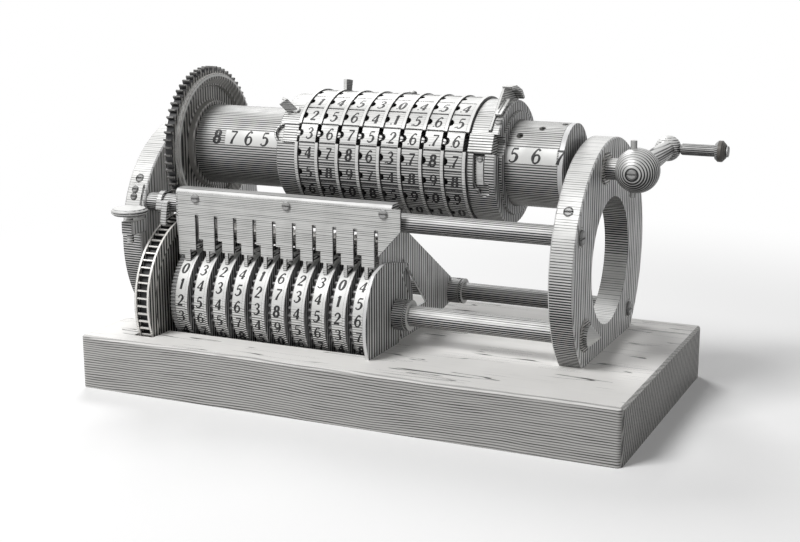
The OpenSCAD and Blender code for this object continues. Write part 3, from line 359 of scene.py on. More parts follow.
# Roughness and metallic share of each surface
CAST = (0.45, 0.15)
CUT_GEAR = (0.45, 0.2)
PLATED = (0.42, 0.15)
SPRING = (0.42, 0.1)
STRIP = (0.45, 0.1)
COMB_BAR = (0.42, 0.2)
BUSH = (0.42, 0.3)
DRAWN_BAR = (0.5, 0.12)
DRUM_SKIN = (0.48, 0.12)
SCREW = (0.35, 0.2)
BUTTON = (0.4, 0.2)
POLISHED = (0.38, 0.3)
TURNED = (0.35, 0.3)
WOOD = (0.5, 0.0)
INK = (0.45, 0.0)

EDGE_RADIUS = 0.6 * MM
EDGE_DARKNESS = 0.85
TARNISH_BRIGHTNESS = 0.45
CLOUD_ROUGHNESS = 0.12
SPECK_ROUGHNESS = 0.1
CUT_STRENGTH = 0.6
COAT_ROUGHNESS = 0.2

# How squarely a surface faces an axis where a mask starts and where it is whole
SQUARE_ON = (0.6, 0.9)
UPRIGHT_FACE = (0.5, 0.9)
ROUND_SIDE = (0.75, 0.3)
RIM = (0.8, 0.5)

KNOB_TONE = (0.12, 0.11, 0.10)


class Finish(Graph):
    """A material whose Principled shader is fed by the shared groups."""

    def __init__(self, name, sheen, coat=0.0, heaviest=PLAIN):
        self.material = bpy.data.materials.new(name)
        super().__init__(emptied(self.material))
        self.roughness, metallic = sheen
        self.heaviest = heaviest
        self.shader = self.add("ShaderNodeBsdfPrincipled", named={
            "Metallic": metallic, "Coat Weight": coat, "Coat Roughness": COAT_ROUGHNESS})
        self.add("ShaderNodeOutputMaterial", self.shader)
        self.place = self.add("ShaderNodeTexCoord").outputs["Object"]
        # Painted shade: 1 where a surface faces away from the light, which thickens the tool marks there
        self.painted_shade = self.group("painted_shade_side")["Painted Shade"]

    def group(self, name, **values):
        node = self.add("ShaderNodeGroup", node_tree=bpy.data.node_groups[name])
        for key, value in values.items():
            self.feed(node.inputs[key], value)
        return node.outputs

    def lines(self, marks, spacing, place=None):
        """Tool marks as a mask; marks holds the direction across, the stretch, and the weights on the lit
        side and on the side in painted shade. Upright marks lie only on faces that look along X."""
        across, stretch, lit_weight, shade_weight = marks
        weight = self.math("MULTIPLY_ADD", self.painted_shade, shade_weight - lit_weight, lit_weight)
        weight = self.math("MINIMUM", weight, self.heaviest)
        mask = self.group("tool_marks", Vector=place or self.place, Across=across, Spacing=spacing,
                          Stretch=stretch, Weight=weight)["Lines"]
        if stretch != ALONG_Z:
            return mask
        return self.times(mask, self.ramp(self.facing(ACROSS_X), *UPRIGHT_FACE))

    def grain(self, stretch, detail):
        """Noise in Object coordinates, drawn out by the stretch."""
        return self.noise(self.vector("MULTIPLY", self.place, stretch), detail)

    def unrolled(self, centre):
        """Coordinates round a line along X: along it, distance from it, and arc length from the front."""
        offset = self.vector("SUBTRACT", self.place, tuple(centre))
        parts = self.add("ShaderNodeSeparateXYZ", offset).outputs
        angle = self.math("ARCTAN2", parts[2], self.times(parts[1], -1.0))
        radius = self.from_axis(centre)
        arc = self.times(angle, radius)
        return self.add("ShaderNodeCombineXYZ", parts[0], radius, arc).outputs[0]

    def from_axis(self, centre):
        """Distance from a line along X through centre."""
        offset = self.vector("SUBTRACT", self.place, tuple(centre))
        return self.vector("LENGTH", self.vector("MULTIPLY", offset, (0, 1, 1)))

    def facing(self, axis):
        """How far the surface faces along an axis, either way."""
        return self.math("ABSOLUTE", self.vector("DOT_PRODUCT", self.local_normal(), axis))

    def close(self, colour, cuts=None, depth=0.02 * MM, edge_colour=None, edge_radius=EDGE_RADIUS,
              dirt=0.2, dirt_scale=60.0):
        """Adds tarnish and dark edges, and joins colour, roughness and normal to the shader.

        Cuts is a mask of lines that are sunk by depth.
        """
        tarnish = self.group("tarnish", Vector=self.place, Scale=dirt_scale)
        edge = self.group("dark_edge_lines", Radius=edge_radius)
        dirty = self.times(tarnish["Clouds"], dirt)
        shade = self.add("ShaderNodeHueSaturation", named={"Value": TARNISH_BRIGHTNESS, "Color": colour})
        colour = self.mix(dirty, colour, shade)
        # Darkened edges: outlines on outer corners, painted shade along creases
        if edge_colour:
            dark_edge = self.times(edge["Edge"], EDGE_DARKNESS)
            colour = self.mix(dark_edge, colour, edge_colour)
        clouded = self.times(tarnish["Clouds"], CLOUD_ROUGHNESS)
        specked = self.times(tarnish["Specks"], SPECK_ROUGHNESS)
        rough = self.math("ADD", self.math("ADD", self.roughness, clouded), specked)
        normal = edge["Normal"]
        if cuts is not None:
            height = self.math("SUBTRACT", 1.0, cuts)
            bump = {"Strength": CUT_STRENGTH, "Distance": depth, "Height": height, "Normal": normal}
            normal = self.add("ShaderNodeBump", named=bump)
        for key, value in (("Base Color", colour), ("Roughness", rough), ("Normal", normal)):
            self.feed(self.shader.inputs[key], value)
        return self.material


# Tool marks in three directions, with their weights on the lit side and on the side in painted shade

def along_x(lit_weight, shade_weight):
    return ACROSS_Z, ALONG_X, lit_weight, shade_weight


def along_y(lit_weight, shade_weight):
    return ACROSS_Z, ALONG_Y, lit_weight, shade_weight


def upright(lit_weight, shade_weight):
    return ACROSS_Y, ALONG_Z, lit_weight, shade_weight


def wear_lined(nodes, name, tone, sheen, metal, marks, spacing=1.0, edge_radius=EDGE_RADIUS):
    """Dresses nodes in plain metal with tool marks in one direction, thicker where shade is painted, and dark
    edges.
    """
    finish = Finish(name, sheen)
    lines = finish.lines(marks, spacing * metal.line_spacing)
    colour = finish.mix(lines, tone, metal.line)
    return wear(nodes, finish.close(colour, lines, edge_colour=metal.line, edge_radius=edge_radius))


def wear_round(nodes, name, tone, centre, sheen, metal, marks, spacing, heaviest=PLAIN):
    """Dresses round pieces in metal whose tool marks run down their length on every side, thicker where shade
    is painted.
    """
    finish = Finish(name, sheen, heaviest=heaviest)
    lines = finish.lines(marks, spacing * metal.line_spacing, finish.unrolled(centre))
    round_side = finish.ramp(finish.facing(ACROSS_X), *ROUND_SIDE)
    mask = finish.times(lines, round_side)
    colour = finish.mix(mask, tone, metal.line)
    wear(nodes, finish.close(colour, mask, edge_colour=metal.line))


# How the patterns of the wood are drawn out, and how fine their detail is
SWAY = ((8, 20, 20), 3.0)
FIBRES = ((30, 900, 900), 3.0)
CRACKS = ((9, 170, 170), 1.0)
CRACK_PATCHES = ((24, 55, 55), 0.0)
SAW_MARKS = ((0, 0.96, -0.28), (0, 140, 25), 0.56, 0.64)


def wood_finish(settings):
    """Straight-grained wood: growth rings round a line far below the base, so each side shows its own cut,
    and a top painted lighter as lit from above.
    """
    heart = (0, -0.10, -0.42)
    sway_width, saw_spacing = 7 * MM, 3.7 * MM
    ring_range, pore_range = (-0.05, 0.55), (0.55, 0.75)
    crack_range, patch_range = (0.011, 0.004), (0.47, 0.5)
    fibre_share, least_fibre, pore_share, crack_share = 0.9, 0.35, 0.12, 0.95
    lit_top_share = 1.28
    finish = Finish("base_wood", WOOD, coat=0.05)
    sway = finish.times(finish.grain(*SWAY), sway_width)
    radius = finish.math("ADD", finish.from_axis(heart), sway)
    phase = finish.times(radius, 2 * math.pi / settings.grain_spacing)
    ring = finish.ramp(finish.math("SINE", phase), *ring_range)
    sawn = finish.lines(SAW_MARKS, saw_spacing)
    end_grain = finish.ramp(finish.facing(ACROSS_X), *SQUARE_ON)
    ring = finish.times(ring, finish.math("SUBTRACT", 1.0, end_grain))
    ring = finish.math("MAXIMUM", ring, finish.times(sawn, end_grain))
    fibre = finish.grain(*FIBRES)
    pores = finish.ramp(fibre, *pore_range)
    upward = finish.ramp(finish.facing(ACROSS_Z), *SQUARE_ON)
    crack_line = finish.math("ABSOLUTE", finish.math("SUBTRACT", finish.grain(*CRACKS), 0.5))
    crack_patch = finish.ramp(finish.grain(*CRACK_PATCHES), *patch_range)
    cracks = finish.times(finish.ramp(crack_line, *crack_range), crack_patch)
    side_grain = finish.times(ring, finish.math("SUBTRACT", 1.0, upward))
    broken = finish.math("MULTIPLY_ADD", fibre, fibre_share, least_fibre, clamp=True)
    side_grain = finish.times(side_grain, broken)
    grain = finish.math("MULTIPLY_ADD", pores, pore_share, side_grain)
    cracks = finish.times(finish.times(cracks, upward), crack_share)
    grain = finish.math("ADD", grain, cracks, clamp=True)
    # Painted light: faces that look up are painted lighter than the sides
    painted_lit_top = finish.mix(upward, settings.light, scaled(settings.light, lit_top_share))
    colour = finish.mix(grain, painted_lit_top, settings.dark)
    return finish.close(colour, grain, depth=0.05 * MM, edge_colour=settings.dark, edge_radius=0.5 * MM,
                        dirt=0.12, dirt_scale=14.0)


def wear_zoned(nodes, name, metal, zone, inner, outer, centre, sheen=CAST, edge_radius=EDGE_RADIUS,
               patches=(), heaviest=PLAIN):
    """Dresses nodes in two tones split by a zone mask: inner where it is 0 and outer where it is 1.

    Each is a tone, its tool marks and their spacing; the outer marks run round the centre's line.
    Each patch is a zone mask and a colour painted over both.
    """
    finish = Finish(name, sheen, heaviest=heaviest)
    inner_tone, inner_marks, inner_spacing = inner
    outer_tone, outer_marks, outer_spacing = outer
    inside = finish.lines(inner_marks, inner_spacing * metal.line_spacing)
    outside = finish.lines(outer_marks, outer_spacing * metal.line_spacing, finish.unrolled(centre))
    where = zone(finish)
    lines = finish.mix(where, inside, outside, "FLOAT")
    ground = finish.mix(where, inner_tone, outer_tone)
    colour = finish.mix(lines, ground, metal.line)
    for patch, patch_colour in patches:
        colour = finish.mix(patch(finish), colour, patch_colour)
    wear(nodes, finish.close(colour, lines, depth=0.015 * MM, edge_colour=metal.line,
                             edge_radius=edge_radius))


def rim_zone(finish):
    """1 on surfaces that face away from the ends, such as a frame's rim and bore."""
    return finish.ramp(finish.facing(ACROSS_X), *RIM)


def ring_round(centre, inner, outer, blur=0.15 * MM):
    """1 between two distances from a line along X through centre."""
    def zone(finish):
        away = finish.from_axis(centre)
        return finish.times(finish.ramp(away, inner - blur, inner), finish.ramp(away, outer + blur, outer))
    return zone


def on_rims(zone):
    """A zone without the surfaces that face the ends."""
    return lambda finish: finish.times(zone(finish), rim_zone(finish))


def band_zone(centre, radius, start_depth, whole_depth=0.1 * MM):
    """1 on the outer bands and flange edges of round pieces, 0 on their sides and below the bands."""
    return on_rims(lambda finish: finish.ramp(
        finish.from_axis(centre), radius - start_depth, radius - whole_depth))


def grip_zone(finish):
    """1 on the rod of the grip, 0 on its knob."""
    knob_share, blur = 0.16, 0.1 * MM
    low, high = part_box("handle_grip")
    knob_start = high.x - knob_share * (high.x - low.x)
    along = finish.add("ShaderNodeSeparateXYZ", finish.place).outputs[0]
    return finish.ramp(along, knob_start + blur, knob_start - blur)


def wear(names, material):
    """Gives CAD nodes a material in every slot they have."""
    for name in names:
        node = NODES[name]
        if not node.material_slots:
            node.data.materials.append(material)
        for slot in node.material_slots:
            slot.material = material
    return material


def numbered(stem, reads):
    return [f"{stem}_{number}" for number in range(1, len(reads) + 1)]


# Figures: each stroke is a list of points (across, up, pen width), in shares of the figure's height

HEAVY = 0.19
LIGHT = 0.10
# All pens are this much wider than written
BOLD = 1.3
MIDDLE_ACROSS = 0.31
MIDDLE_UP = 0.5
STRAIGHT_STEPS = 8
# Points closer than this are one point
TOUCHING = 1e-6
# A stroke starts this many reliefs below the surface
FOOTING = 3
SIX = [(0.5, 0.88, 0.11), (0.34, 1.0, LIGHT), (0.15, 0.78, 0.11), (0.07, 0.4, HEAVY), (0.15, 0.08, 0.1),
       (0.31, 0.0, LIGHT), (0.49, 0.1, 0.11), (0.55, 0.32, 0.14), (0.48, 0.52, 0.1), (0.34, 0.59, LIGHT),
       (0.18, 0.52, LIGHT), (0.09, 0.4, LIGHT)]


def oval(centre_x, centre_y, half_width, half_height, points=16):
    """A closed stroke, heavy at its sides and light at top and bottom."""
    turn = 2 * math.pi / points
    return [(centre_x + half_width * math.cos(turn * k), centre_y + half_height * math.sin(turn * k),
             LIGHT + (HEAVY - LIGHT) * abs(math.cos(turn * k))) for k in range(points + 1)]


STROKES = {
    0: [oval(0.31, 0.5, 0.23, 0.48)],
    1: [[(0.33, 0.0, HEAVY), (0.33, 1.0, HEAVY)], [(0.16, 0.8, LIGHT), (0.33, 0.98, LIGHT)]],
    2: [[(0.09, 0.72, 0.12), (0.15, 0.92, 0.09), (0.32, 1.0, LIGHT), (0.49, 0.9, 0.12), (0.52, 0.7, HEAVY),
         (0.4, 0.46, 0.12), (0.2, 0.22, 0.08), (0.06, 0.05, 0.07)],
        [(0.05, 0.06, 0.12), (0.3, 0.07, 0.13), (0.57, 0.05, 0.11)]],
    3: [[(0.08, 0.84, 0.11), (0.18, 0.97, 0.07), (0.32, 1.0, LIGHT), (0.46, 0.9, 0.12), (0.48, 0.74, 0.14),
         (0.4, 0.6, 0.09), (0.26, 0.55, LIGHT)],
        [(0.26, 0.55, LIGHT), (0.44, 0.48, 0.1), (0.54, 0.3, HEAVY), (0.46, 0.09, 0.12), (0.28, 0.0, LIGHT),
         (0.12, 0.04, 0.07), (0.05, 0.16, 0.11)]],
    4: [[(0.44, 1.0, 0.08), (0.03, 0.3, 0.08)], [(0.02, 0.29, 0.09), (0.62, 0.29, 0.09)],
        [(0.44, 1.0, 0.13), (0.44, 0.0, HEAVY)]],
    5: [[(0.17, 0.95, 0.11), (0.54, 0.96, 0.11)], [(0.17, 0.95, 0.07), (0.12, 0.54, 0.07)],
        [(0.12, 0.54, LIGHT), (0.3, 0.61, LIGHT), (0.48, 0.52, 0.12), (0.54, 0.32, HEAVY),
         (0.46, 0.09, 0.12), (0.28, 0.0, LIGHT), (0.12, 0.03, 0.07), (0.05, 0.14, 0.11)]],
    6: [SIX],
    7: [[(0.06, 0.95, 0.11), (0.58, 0.95, 0.11)], [(0.57, 0.93, 0.07), (0.42, 0.62, 0.11), (0.3, 0.3, 0.14),
        (0.25, 0.0, HEAVY)]],
    8: [oval(0.31, 0.76, 0.185, 0.225), oval(0.31, 0.27, 0.235, 0.26)],
    9: [[(2 * MIDDLE_ACROSS - x, 1.0 - y, pen) for x, y, pen in SIX]],
}
RULE = [(-0.52, -0.3, 0.035), (0.98, -0.3, 0.035)]
DOT = [(-0.06, 0.0, 0.1), (-0.06, 0.1, 0.1)]


def smooth_stroke(points, between=4):
    """Points along a curve through the given ones, or along the line between two."""
    if len(points) == 2:
        (x0, y0, pen0), (x1, y1, pen1) = points
        steps = [k / STRAIGHT_STEPS for k in range(STRAIGHT_STEPS + 1)]
        return [(x0 + t * (x1 - x0), y0 + t * (y1 - y0), pen0 + t * (pen1 - pen0)) for t in steps]
    padded = [points[0], *points, points[-1]]
    if math.dist(points[0][:2], points[-1][:2]) < TOUCHING:
        padded = [points[-2], *points, points[1]]
    result = []
    for k in range(1, len(padded) - 2):
        for step in range(between):
            t = step / between
            weights = (-t**3 + 2 * t**2 - t, 3 * t**3 - 5 * t**2 + 2, -3 * t**3 + 4 * t**2 + t, t**3 - t**2)
            near = padded[k - 1:k + 3]
            result.append(tuple(sum(w * p[axis] for w, p in zip(weights, near)) / 2 for axis in range(3)))
    return result + [points[-1]]


def join_rows(mesh, rows, closed=False):
    """Faces between rows of four corners, and over both ends unless the rows close in a ring."""
    for k in range(len(rows) if closed else len(rows) - 1):
        first, second = rows[k], rows[(k + 1) % len(rows)]
        for corner in range(4):
            following = (corner + 1) % 4
            mesh.faces.new((first[corner], first[following], second[following], second[corner]))
    if not closed:
        mesh.faces.new(reversed(rows[0]))
        mesh.faces.new(rows[-1])


def add_stroke(mesh, points, height, slant, relief):
    """A closed ribbon of varying width along the points, standing from below the surface to the relief."""
    line = smooth_stroke(points)
    closed = math.dist(line[0][:2], line[-1][:2]) < TOUCHING
    if closed:
        line = line[:-1]
    count = len(line)
    sides = []
    for k, (x, y, pen) in enumerate(line):
        before = line[(k - 1) % count] if closed or k else line[k]
        after = line[(k + 1) % count] if closed or k < count - 1 else line[k]
        run = Vector((after[0] - before[0], after[1] - before[1])).normalized()
        out = Vector((-run.y, run.x)) * pen / 2
        foot = -FOOTING * relief
        corners = []
        for edge, level in ((out, relief), (-out, relief), (-out, foot), (out, foot)):
            point = Vector((x, y)) + edge
            up = point.y - MIDDLE_UP
            lean = point.x + math.tan(slant) * up
            corners.append(mesh.verts.new((lean * height, up * height, level)))
        sides.append(corners)
    join_rows(mesh, sides, closed)


def mesh_object(name, mesh):
    bmesh.ops.recalc_face_normals(mesh, faces=mesh.faces)
    data = bpy.data.meshes.new(name)
    mesh.to_mesh(data)
    mesh.free()
    return bpy.data.objects.new(name, data)


def figure_object(name, strokes, settings, height):
    """One figure as a mesh, flat, centred on its own middle."""
    mesh = bmesh.new()
    for stroke in strokes:
        centred = [(x - MIDDLE_ACROSS, y, pen * BOLD) for x, y, pen in stroke]
        add_stroke(mesh, centred, height, settings.slant, settings.relief)
    return mesh_object(name, mesh)


def figure_collection(name, settings, height, extras=()):
    """The ten figures in one collection, in order, each with the extra strokes."""
    collection = bpy.data.collections.new(name)
    for figure, strokes in STROKES.items():
        item = figure_object(f"{name}_{figure}", [*strokes, *extras], settings, height)
        collection.objects.link(item)
    return collection


def build_figure_wrap():
    """Geometry Nodes: a row of figures from a collection, bent round a line along X."""
    inputs = [
        ("Geometry", "Geometry", None), ("Figures", "Collection", None), ("Count", "Int", FIGURES_ROUND),
        ("First Figure", "Int", 0), ("Figure Step", "Int", 1), ("Bare Place", "Int", -1),
        ("Pitch Along", "Float", 0.0), ("Pitch Round", "Float", 0.0), ("First X", "Float", 0.0),
        ("First Angle", "Float", 0.0), ("Axis", "Vector", None), ("Radius", "Float", RING_RADIUS),
        ("Material", "Material", None),
    ]
    graph, given, out = new_group("figures_round_axis", inputs, [("Geometry", "Geometry")],
                                  kind="GeometryNodeTree")
    arc = graph.times(given["Pitch Round"], given["Radius"])
    downward = graph.times(arc, -1.0)
    step = graph.add("ShaderNodeCombineXYZ", given["Pitch Along"], downward)
    row = graph.add("GeometryNodeMeshLine", named={"Count": given["Count"], "Offset": step})
    index = graph.add("GeometryNodeInputIndex")
    turned = graph.math("MULTIPLY_ADD", index, given["Figure Step"], given["First Figure"])
    figure = graph.math("FLOORED_MODULO", turned, float(len(STROKES)))
    wanted = graph.add("FunctionNodeCompare", data_type="INT", operation="NOT_EQUAL")
    graph.feed(wanted.inputs[2], index)
    graph.feed(wanted.inputs[3], given["Bare Place"])
    choices = graph.add("GeometryNodeCollectionInfo", named={
        "Collection": given["Figures"], "Separate Children": True, "Reset Children": True})
    placed = graph.add("GeometryNodeInstanceOnPoints", named={
        "Points": row, "Selection": wanted, "Instance": choices,
        "Pick Instance": True, "Instance Index": figure})
    solid = graph.add("GeometryNodeRealizeInstances", placed)
    here = graph.add("ShaderNodeSeparateXYZ", graph.add("GeometryNodeInputPosition").outputs[0]).outputs
    axis = graph.add("ShaderNodeSeparateXYZ", given["Axis"]).outputs
    angle = graph.math("ADD", given["First Angle"], graph.math("DIVIDE", here[1], given["Radius"]))
    radius = graph.math("ADD", given["Radius"], here[2])
    forward = graph.times(radius, graph.math("COSINE", angle))
    upward = graph.times(radius, graph.math("SINE", angle))
    bent = graph.add("ShaderNodeCombineXYZ", graph.math("ADD", given["First X"], here[0]),
                     graph.math("SUBTRACT", axis[1], forward), graph.math("ADD", axis[2], upward))
    moved = graph.add("GeometryNodeSetPosition", named={"Geometry": solid, "Position": bent})
    coloured = graph.add("GeometryNodeSetMaterial", named={"Geometry": moved, "Material": given["Material"]})
    graph.feed(out["Geometry"], coloured)
    return graph.tree


def run_tree(name, tree, body, slot, **values):
    """Runs a Geometry Nodes tree on an empty mesh and keeps the result as a plain mesh on a body."""
    carrier = bpy.data.objects.new(name, bpy.data.meshes.new(name))
    bpy.context.scene.collection.objects.link(carrier)
    modifier = carrier.modifiers.new(tree.name, "NODES")
    modifier.node_group = tree
    keys = {item.name: item.identifier for item in tree.interface.items_tree if item.in_out == "INPUT"}
    for label, value in values.items():
        modifier[keys[label.replace("_", " ")]] = value
    depsgraph = bpy.context.evaluated_depsgraph_get()
    data = bpy.data.meshes.new_from_object(carrier.evaluated_get(depsgraph))
    carrier.modifiers.clear()
    carrier.data = data
    data.name = name
    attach(carrier, body)


def curved_plate(name, x0, x1, centre, radius, thickness, from_angle, to_angle, material, steps=10):
    """A thin plate bent round a line along X, closed on every side."""
    mesh = bmesh.new()
    rows = []
    for k in range(steps + 1):
        angle = from_angle + (to_angle - from_angle) * k / steps
        row = []
        for x, r in ((x0, radius), (x1, radius), (x1, radius + thickness), (x0, radius + thickness)):
            row.append(mesh.verts.new((x, centre.y - r * math.cos(angle), centre.z + r * math.sin(angle))))
        rows.append(row)
    join_rows(mesh, rows)
    plate = mesh_object(name, mesh)
    plate.data.materials.append(material)
    bpy.context.scene.collection.objects.link(plate)
    return plate


# The stage: places and sizes in metres

CAMERA_PLACE = (0.3383, -0.7369, 0.2545)
CAMERA_TILT = math.radians(77.07)
CAMERA_TURN = math.radians(24.44)
SENSOR_WIDTH = 36
FARTHEST_SEEN = 100
KEY_PLACE, KEY_SIZE = (-0.72, -1.15, 1.62), 0.75
BACK_PLACE, BACK_SIZE = (-0.7, 0.9, 1.25), 0.45
LAMP_AIM = (0, 0, 0.09)
WHITE = (1, 1, 1)
# The floor near the machine as the camera sees it, which glows a little, and the darker floor and world
# that light the machine
PAPER = (0.93, 0.93, 0.93)
PAPER_GLOW = 0.08
BOUNCE = (0.22, 0.22, 0.22)
WORLD_LIGHT = 0.18


def seen_directly(graph):
    """1 for rays from the camera, and for those that metal or glass send on."""
    rays = graph.add("ShaderNodeLightPath").outputs
    direct = graph.math("MAXIMUM", rays["Is Camera Ray"], rays["Is Glossy Ray"])
    return graph.math("MAXIMUM", direct, rays["Is Transmission Ray"])


# Operators

class CALCULATOR_OT_stage(bpy.types.Operator):
    """Camera, floor, world and lamps"""
    bl_idname = "calculator.stage"
    bl_label = "Stage"

    def execute(self, context):
        settings = context.scene.calculator_stage
        context.scene.view_settings.view_transform = "Standard"
        camera = bpy.data.objects.new("camera", bpy.data.cameras.new("camera"))
        camera.location = CAMERA_PLACE
        camera.rotation_euler = Euler((CAMERA_TILT, 0, CAMERA_TURN))
        camera.data.lens = settings.lens
        camera.data.sensor_width = SENSOR_WIDTH
        camera.data.clip_end = FARTHEST_SEEN
        context.scene.collection.objects.link(camera)
        context.scene.camera = camera
        self.add_floor(context, settings)
        self.add_world(context)
        self.add_lamp(context, "key_lamp", KEY_PLACE, settings.key_strength, KEY_SIZE)
        self.add_lamp(context, "back_lamp", BACK_PLACE, settings.back_strength, BACK_SIZE)
        return {"FINISHED"}

    def add_floor(self, context, settings):
        """Pale paper that turns white away from the machine."""
        half = settings.floor_size / 2
        data = bpy.data.meshes.new("floor")
        corners = [(-half, -half, 0), (half, -half, 0), (half, half, 0), (-half, half, 0)]
        data.from_pydata(corners, [], [(0, 1, 2, 3)])
        material = bpy.data.materials.new("floor_paper")
        graph = Graph(emptied(material))
        dim = graph.add("ShaderNodeBsdfDiffuse", BOUNCE)
        pale = graph.add("ShaderNodeBsdfDiffuse", PAPER)
        glow = graph.add("ShaderNodeEmission", WHITE, PAPER_GLOW)
        near = graph.add("ShaderNodeAddShader", pale, glow)
        white = graph.add("ShaderNodeEmission", WHITE, 1.0)
        place = graph.add("ShaderNodeTexCoord").outputs["Object"]
        away = graph.ramp(graph.vector("LENGTH", place), settings.shadow_reach, 2 * settings.shadow_reach)
        seen_floor = graph.add("ShaderNodeMixShader", away, near, white)
        both = graph.add("ShaderNodeMixShader", seen_directly(graph), dim, seen_floor)
        graph.add("ShaderNodeOutputMaterial", both)
        data.materials.append(material)
        floor = bpy.data.objects.new("floor", data)
        context.scene.collection.objects.link(floor)

    def add_world(self, context):
        """White where it is seen, and dim where it only lights the machine."""
        world = bpy.data.worlds.new("world")
        graph = Graph(emptied(world))
        strength = graph.math("MULTIPLY_ADD", seen_directly(graph), 1 - WORLD_LIGHT, WORLD_LIGHT)
        graph.add("ShaderNodeOutputWorld", graph.add("ShaderNodeBackground", WHITE, strength))
        context.scene.world = world

    def add_lamp(self, context, name, place, power, size):
        light = bpy.data.lights.new(name, "AREA")
        light.energy = power
        light.size = size
        lamp = bpy.data.objects.new(name, light)
        lamp.location = place
        aim = Vector(LAMP_AIM) - Vector(place)
        lamp.rotation_euler = aim.to_track_quat("-Z", "Y").to_euler()
        context.scene.collection.objects.link(lamp)


class CALCULATOR_OT_base(bpy.types.Operator):
    """Wood of the base"""
    bl_idname = "calculator.base"
    bl_label = "Base"

    def execute(self, context):
        wear(["base_block"], wood_finish(context.scene.calculator_wood))
        return {"FINISHED"}


class CALCULATOR_OT_fixed_metal(bpy.types.Operator):
    """End frames, rods, comb, plates and screws"""
    bl_idname = "calculator.fixed_metal"
    bl_label = "Fixed metal"

    def execute(self, context):
        metal = context.scene.calculator_metal
        along = along_x(0.12, 0.5)
        centre = centre_and_radius("left_end_frame")[0]
        centre.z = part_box("left_end_frame")[1].z - FRAME_RADIUS
        rim = (metal.silvered, along_x(0.13, 1.35), 0.95)
        for nodes, weight, spacing in ((["left_end_frame", "button_bracket"], 0.12, 1.7),
                                       (["right_end_frame"], 0.26, 2.5)):
            face = (scaled(metal.dark, 2.1), upright(weight, weight + 0.1), spacing)
            wear_zoned(nodes, f"{nodes[0]}_iron", metal, rim_zone, face, rim, centre)
        wear_lined(["left_web_plate", "right_web_plate"], "web_iron", scaled(metal.dark, 1.9), CAST, metal,
                   upright(0.30, 0.34), 2.0)
        wear_lined(["bearing_bracket"], "bracket_iron", scaled(metal.dark, 1.8), CAST, metal,
                   upright(0.4, 0.5), 2.0)
        # Painted shade: the walls of the slots in the comb are painted dark
        shaded_slot_wall = (scaled(metal.dark, 0.35), along_x(0.0, 0.2), 1.0)
        comb_face = (metal.silvered, along_x(0.10, 0.36), 0.95)
        wear_zoned(["comb_plate"], "comb_steel", metal, rim_zone, shaded_slot_wall, comb_face, LOWER_AXIS)
        wear_lined(["comb_bar", "gear_pawl"], "comb_bar_steel", metal.bright, COMB_BAR, metal, along)
        for name in ("front_tie_rod", "rear_tie_rod", "carry_shaft", "rod_collar", "shaft_collar"):
            wear_round([name], f"{name}_steel", metal.bright, centre_and_radius(name)[0], DRAWN_BAR, metal,
                       along_x(0.36, 1.5), 0.85)
        wear_lined(["shaft_bushes", "carry_pinions"], "bush_metal", scaled(metal.gear, 1.2), BUSH, metal,
                   along)
        for nodes, share, edge_radius in ((["comb_screws", "latch_screws"], 0.62, 0.9 * MM),
                                          (["hub_screw"], 0.6, 0.7 * MM),
                                          (["frame_screws", "foot_screws"], 0.34, 0.9 * MM)):
            wear_lined(nodes, f"{nodes[0]}_steel", scaled(metal.bright, share), SCREW, metal,
                       along_x(-0.1, -0.1), edge_radius=edge_radius)
        wear_lined(["thumb_button"], "button_steel", scaled(metal.silvered, 0.9), BUTTON, metal, along)
        return {"FINISHED"}


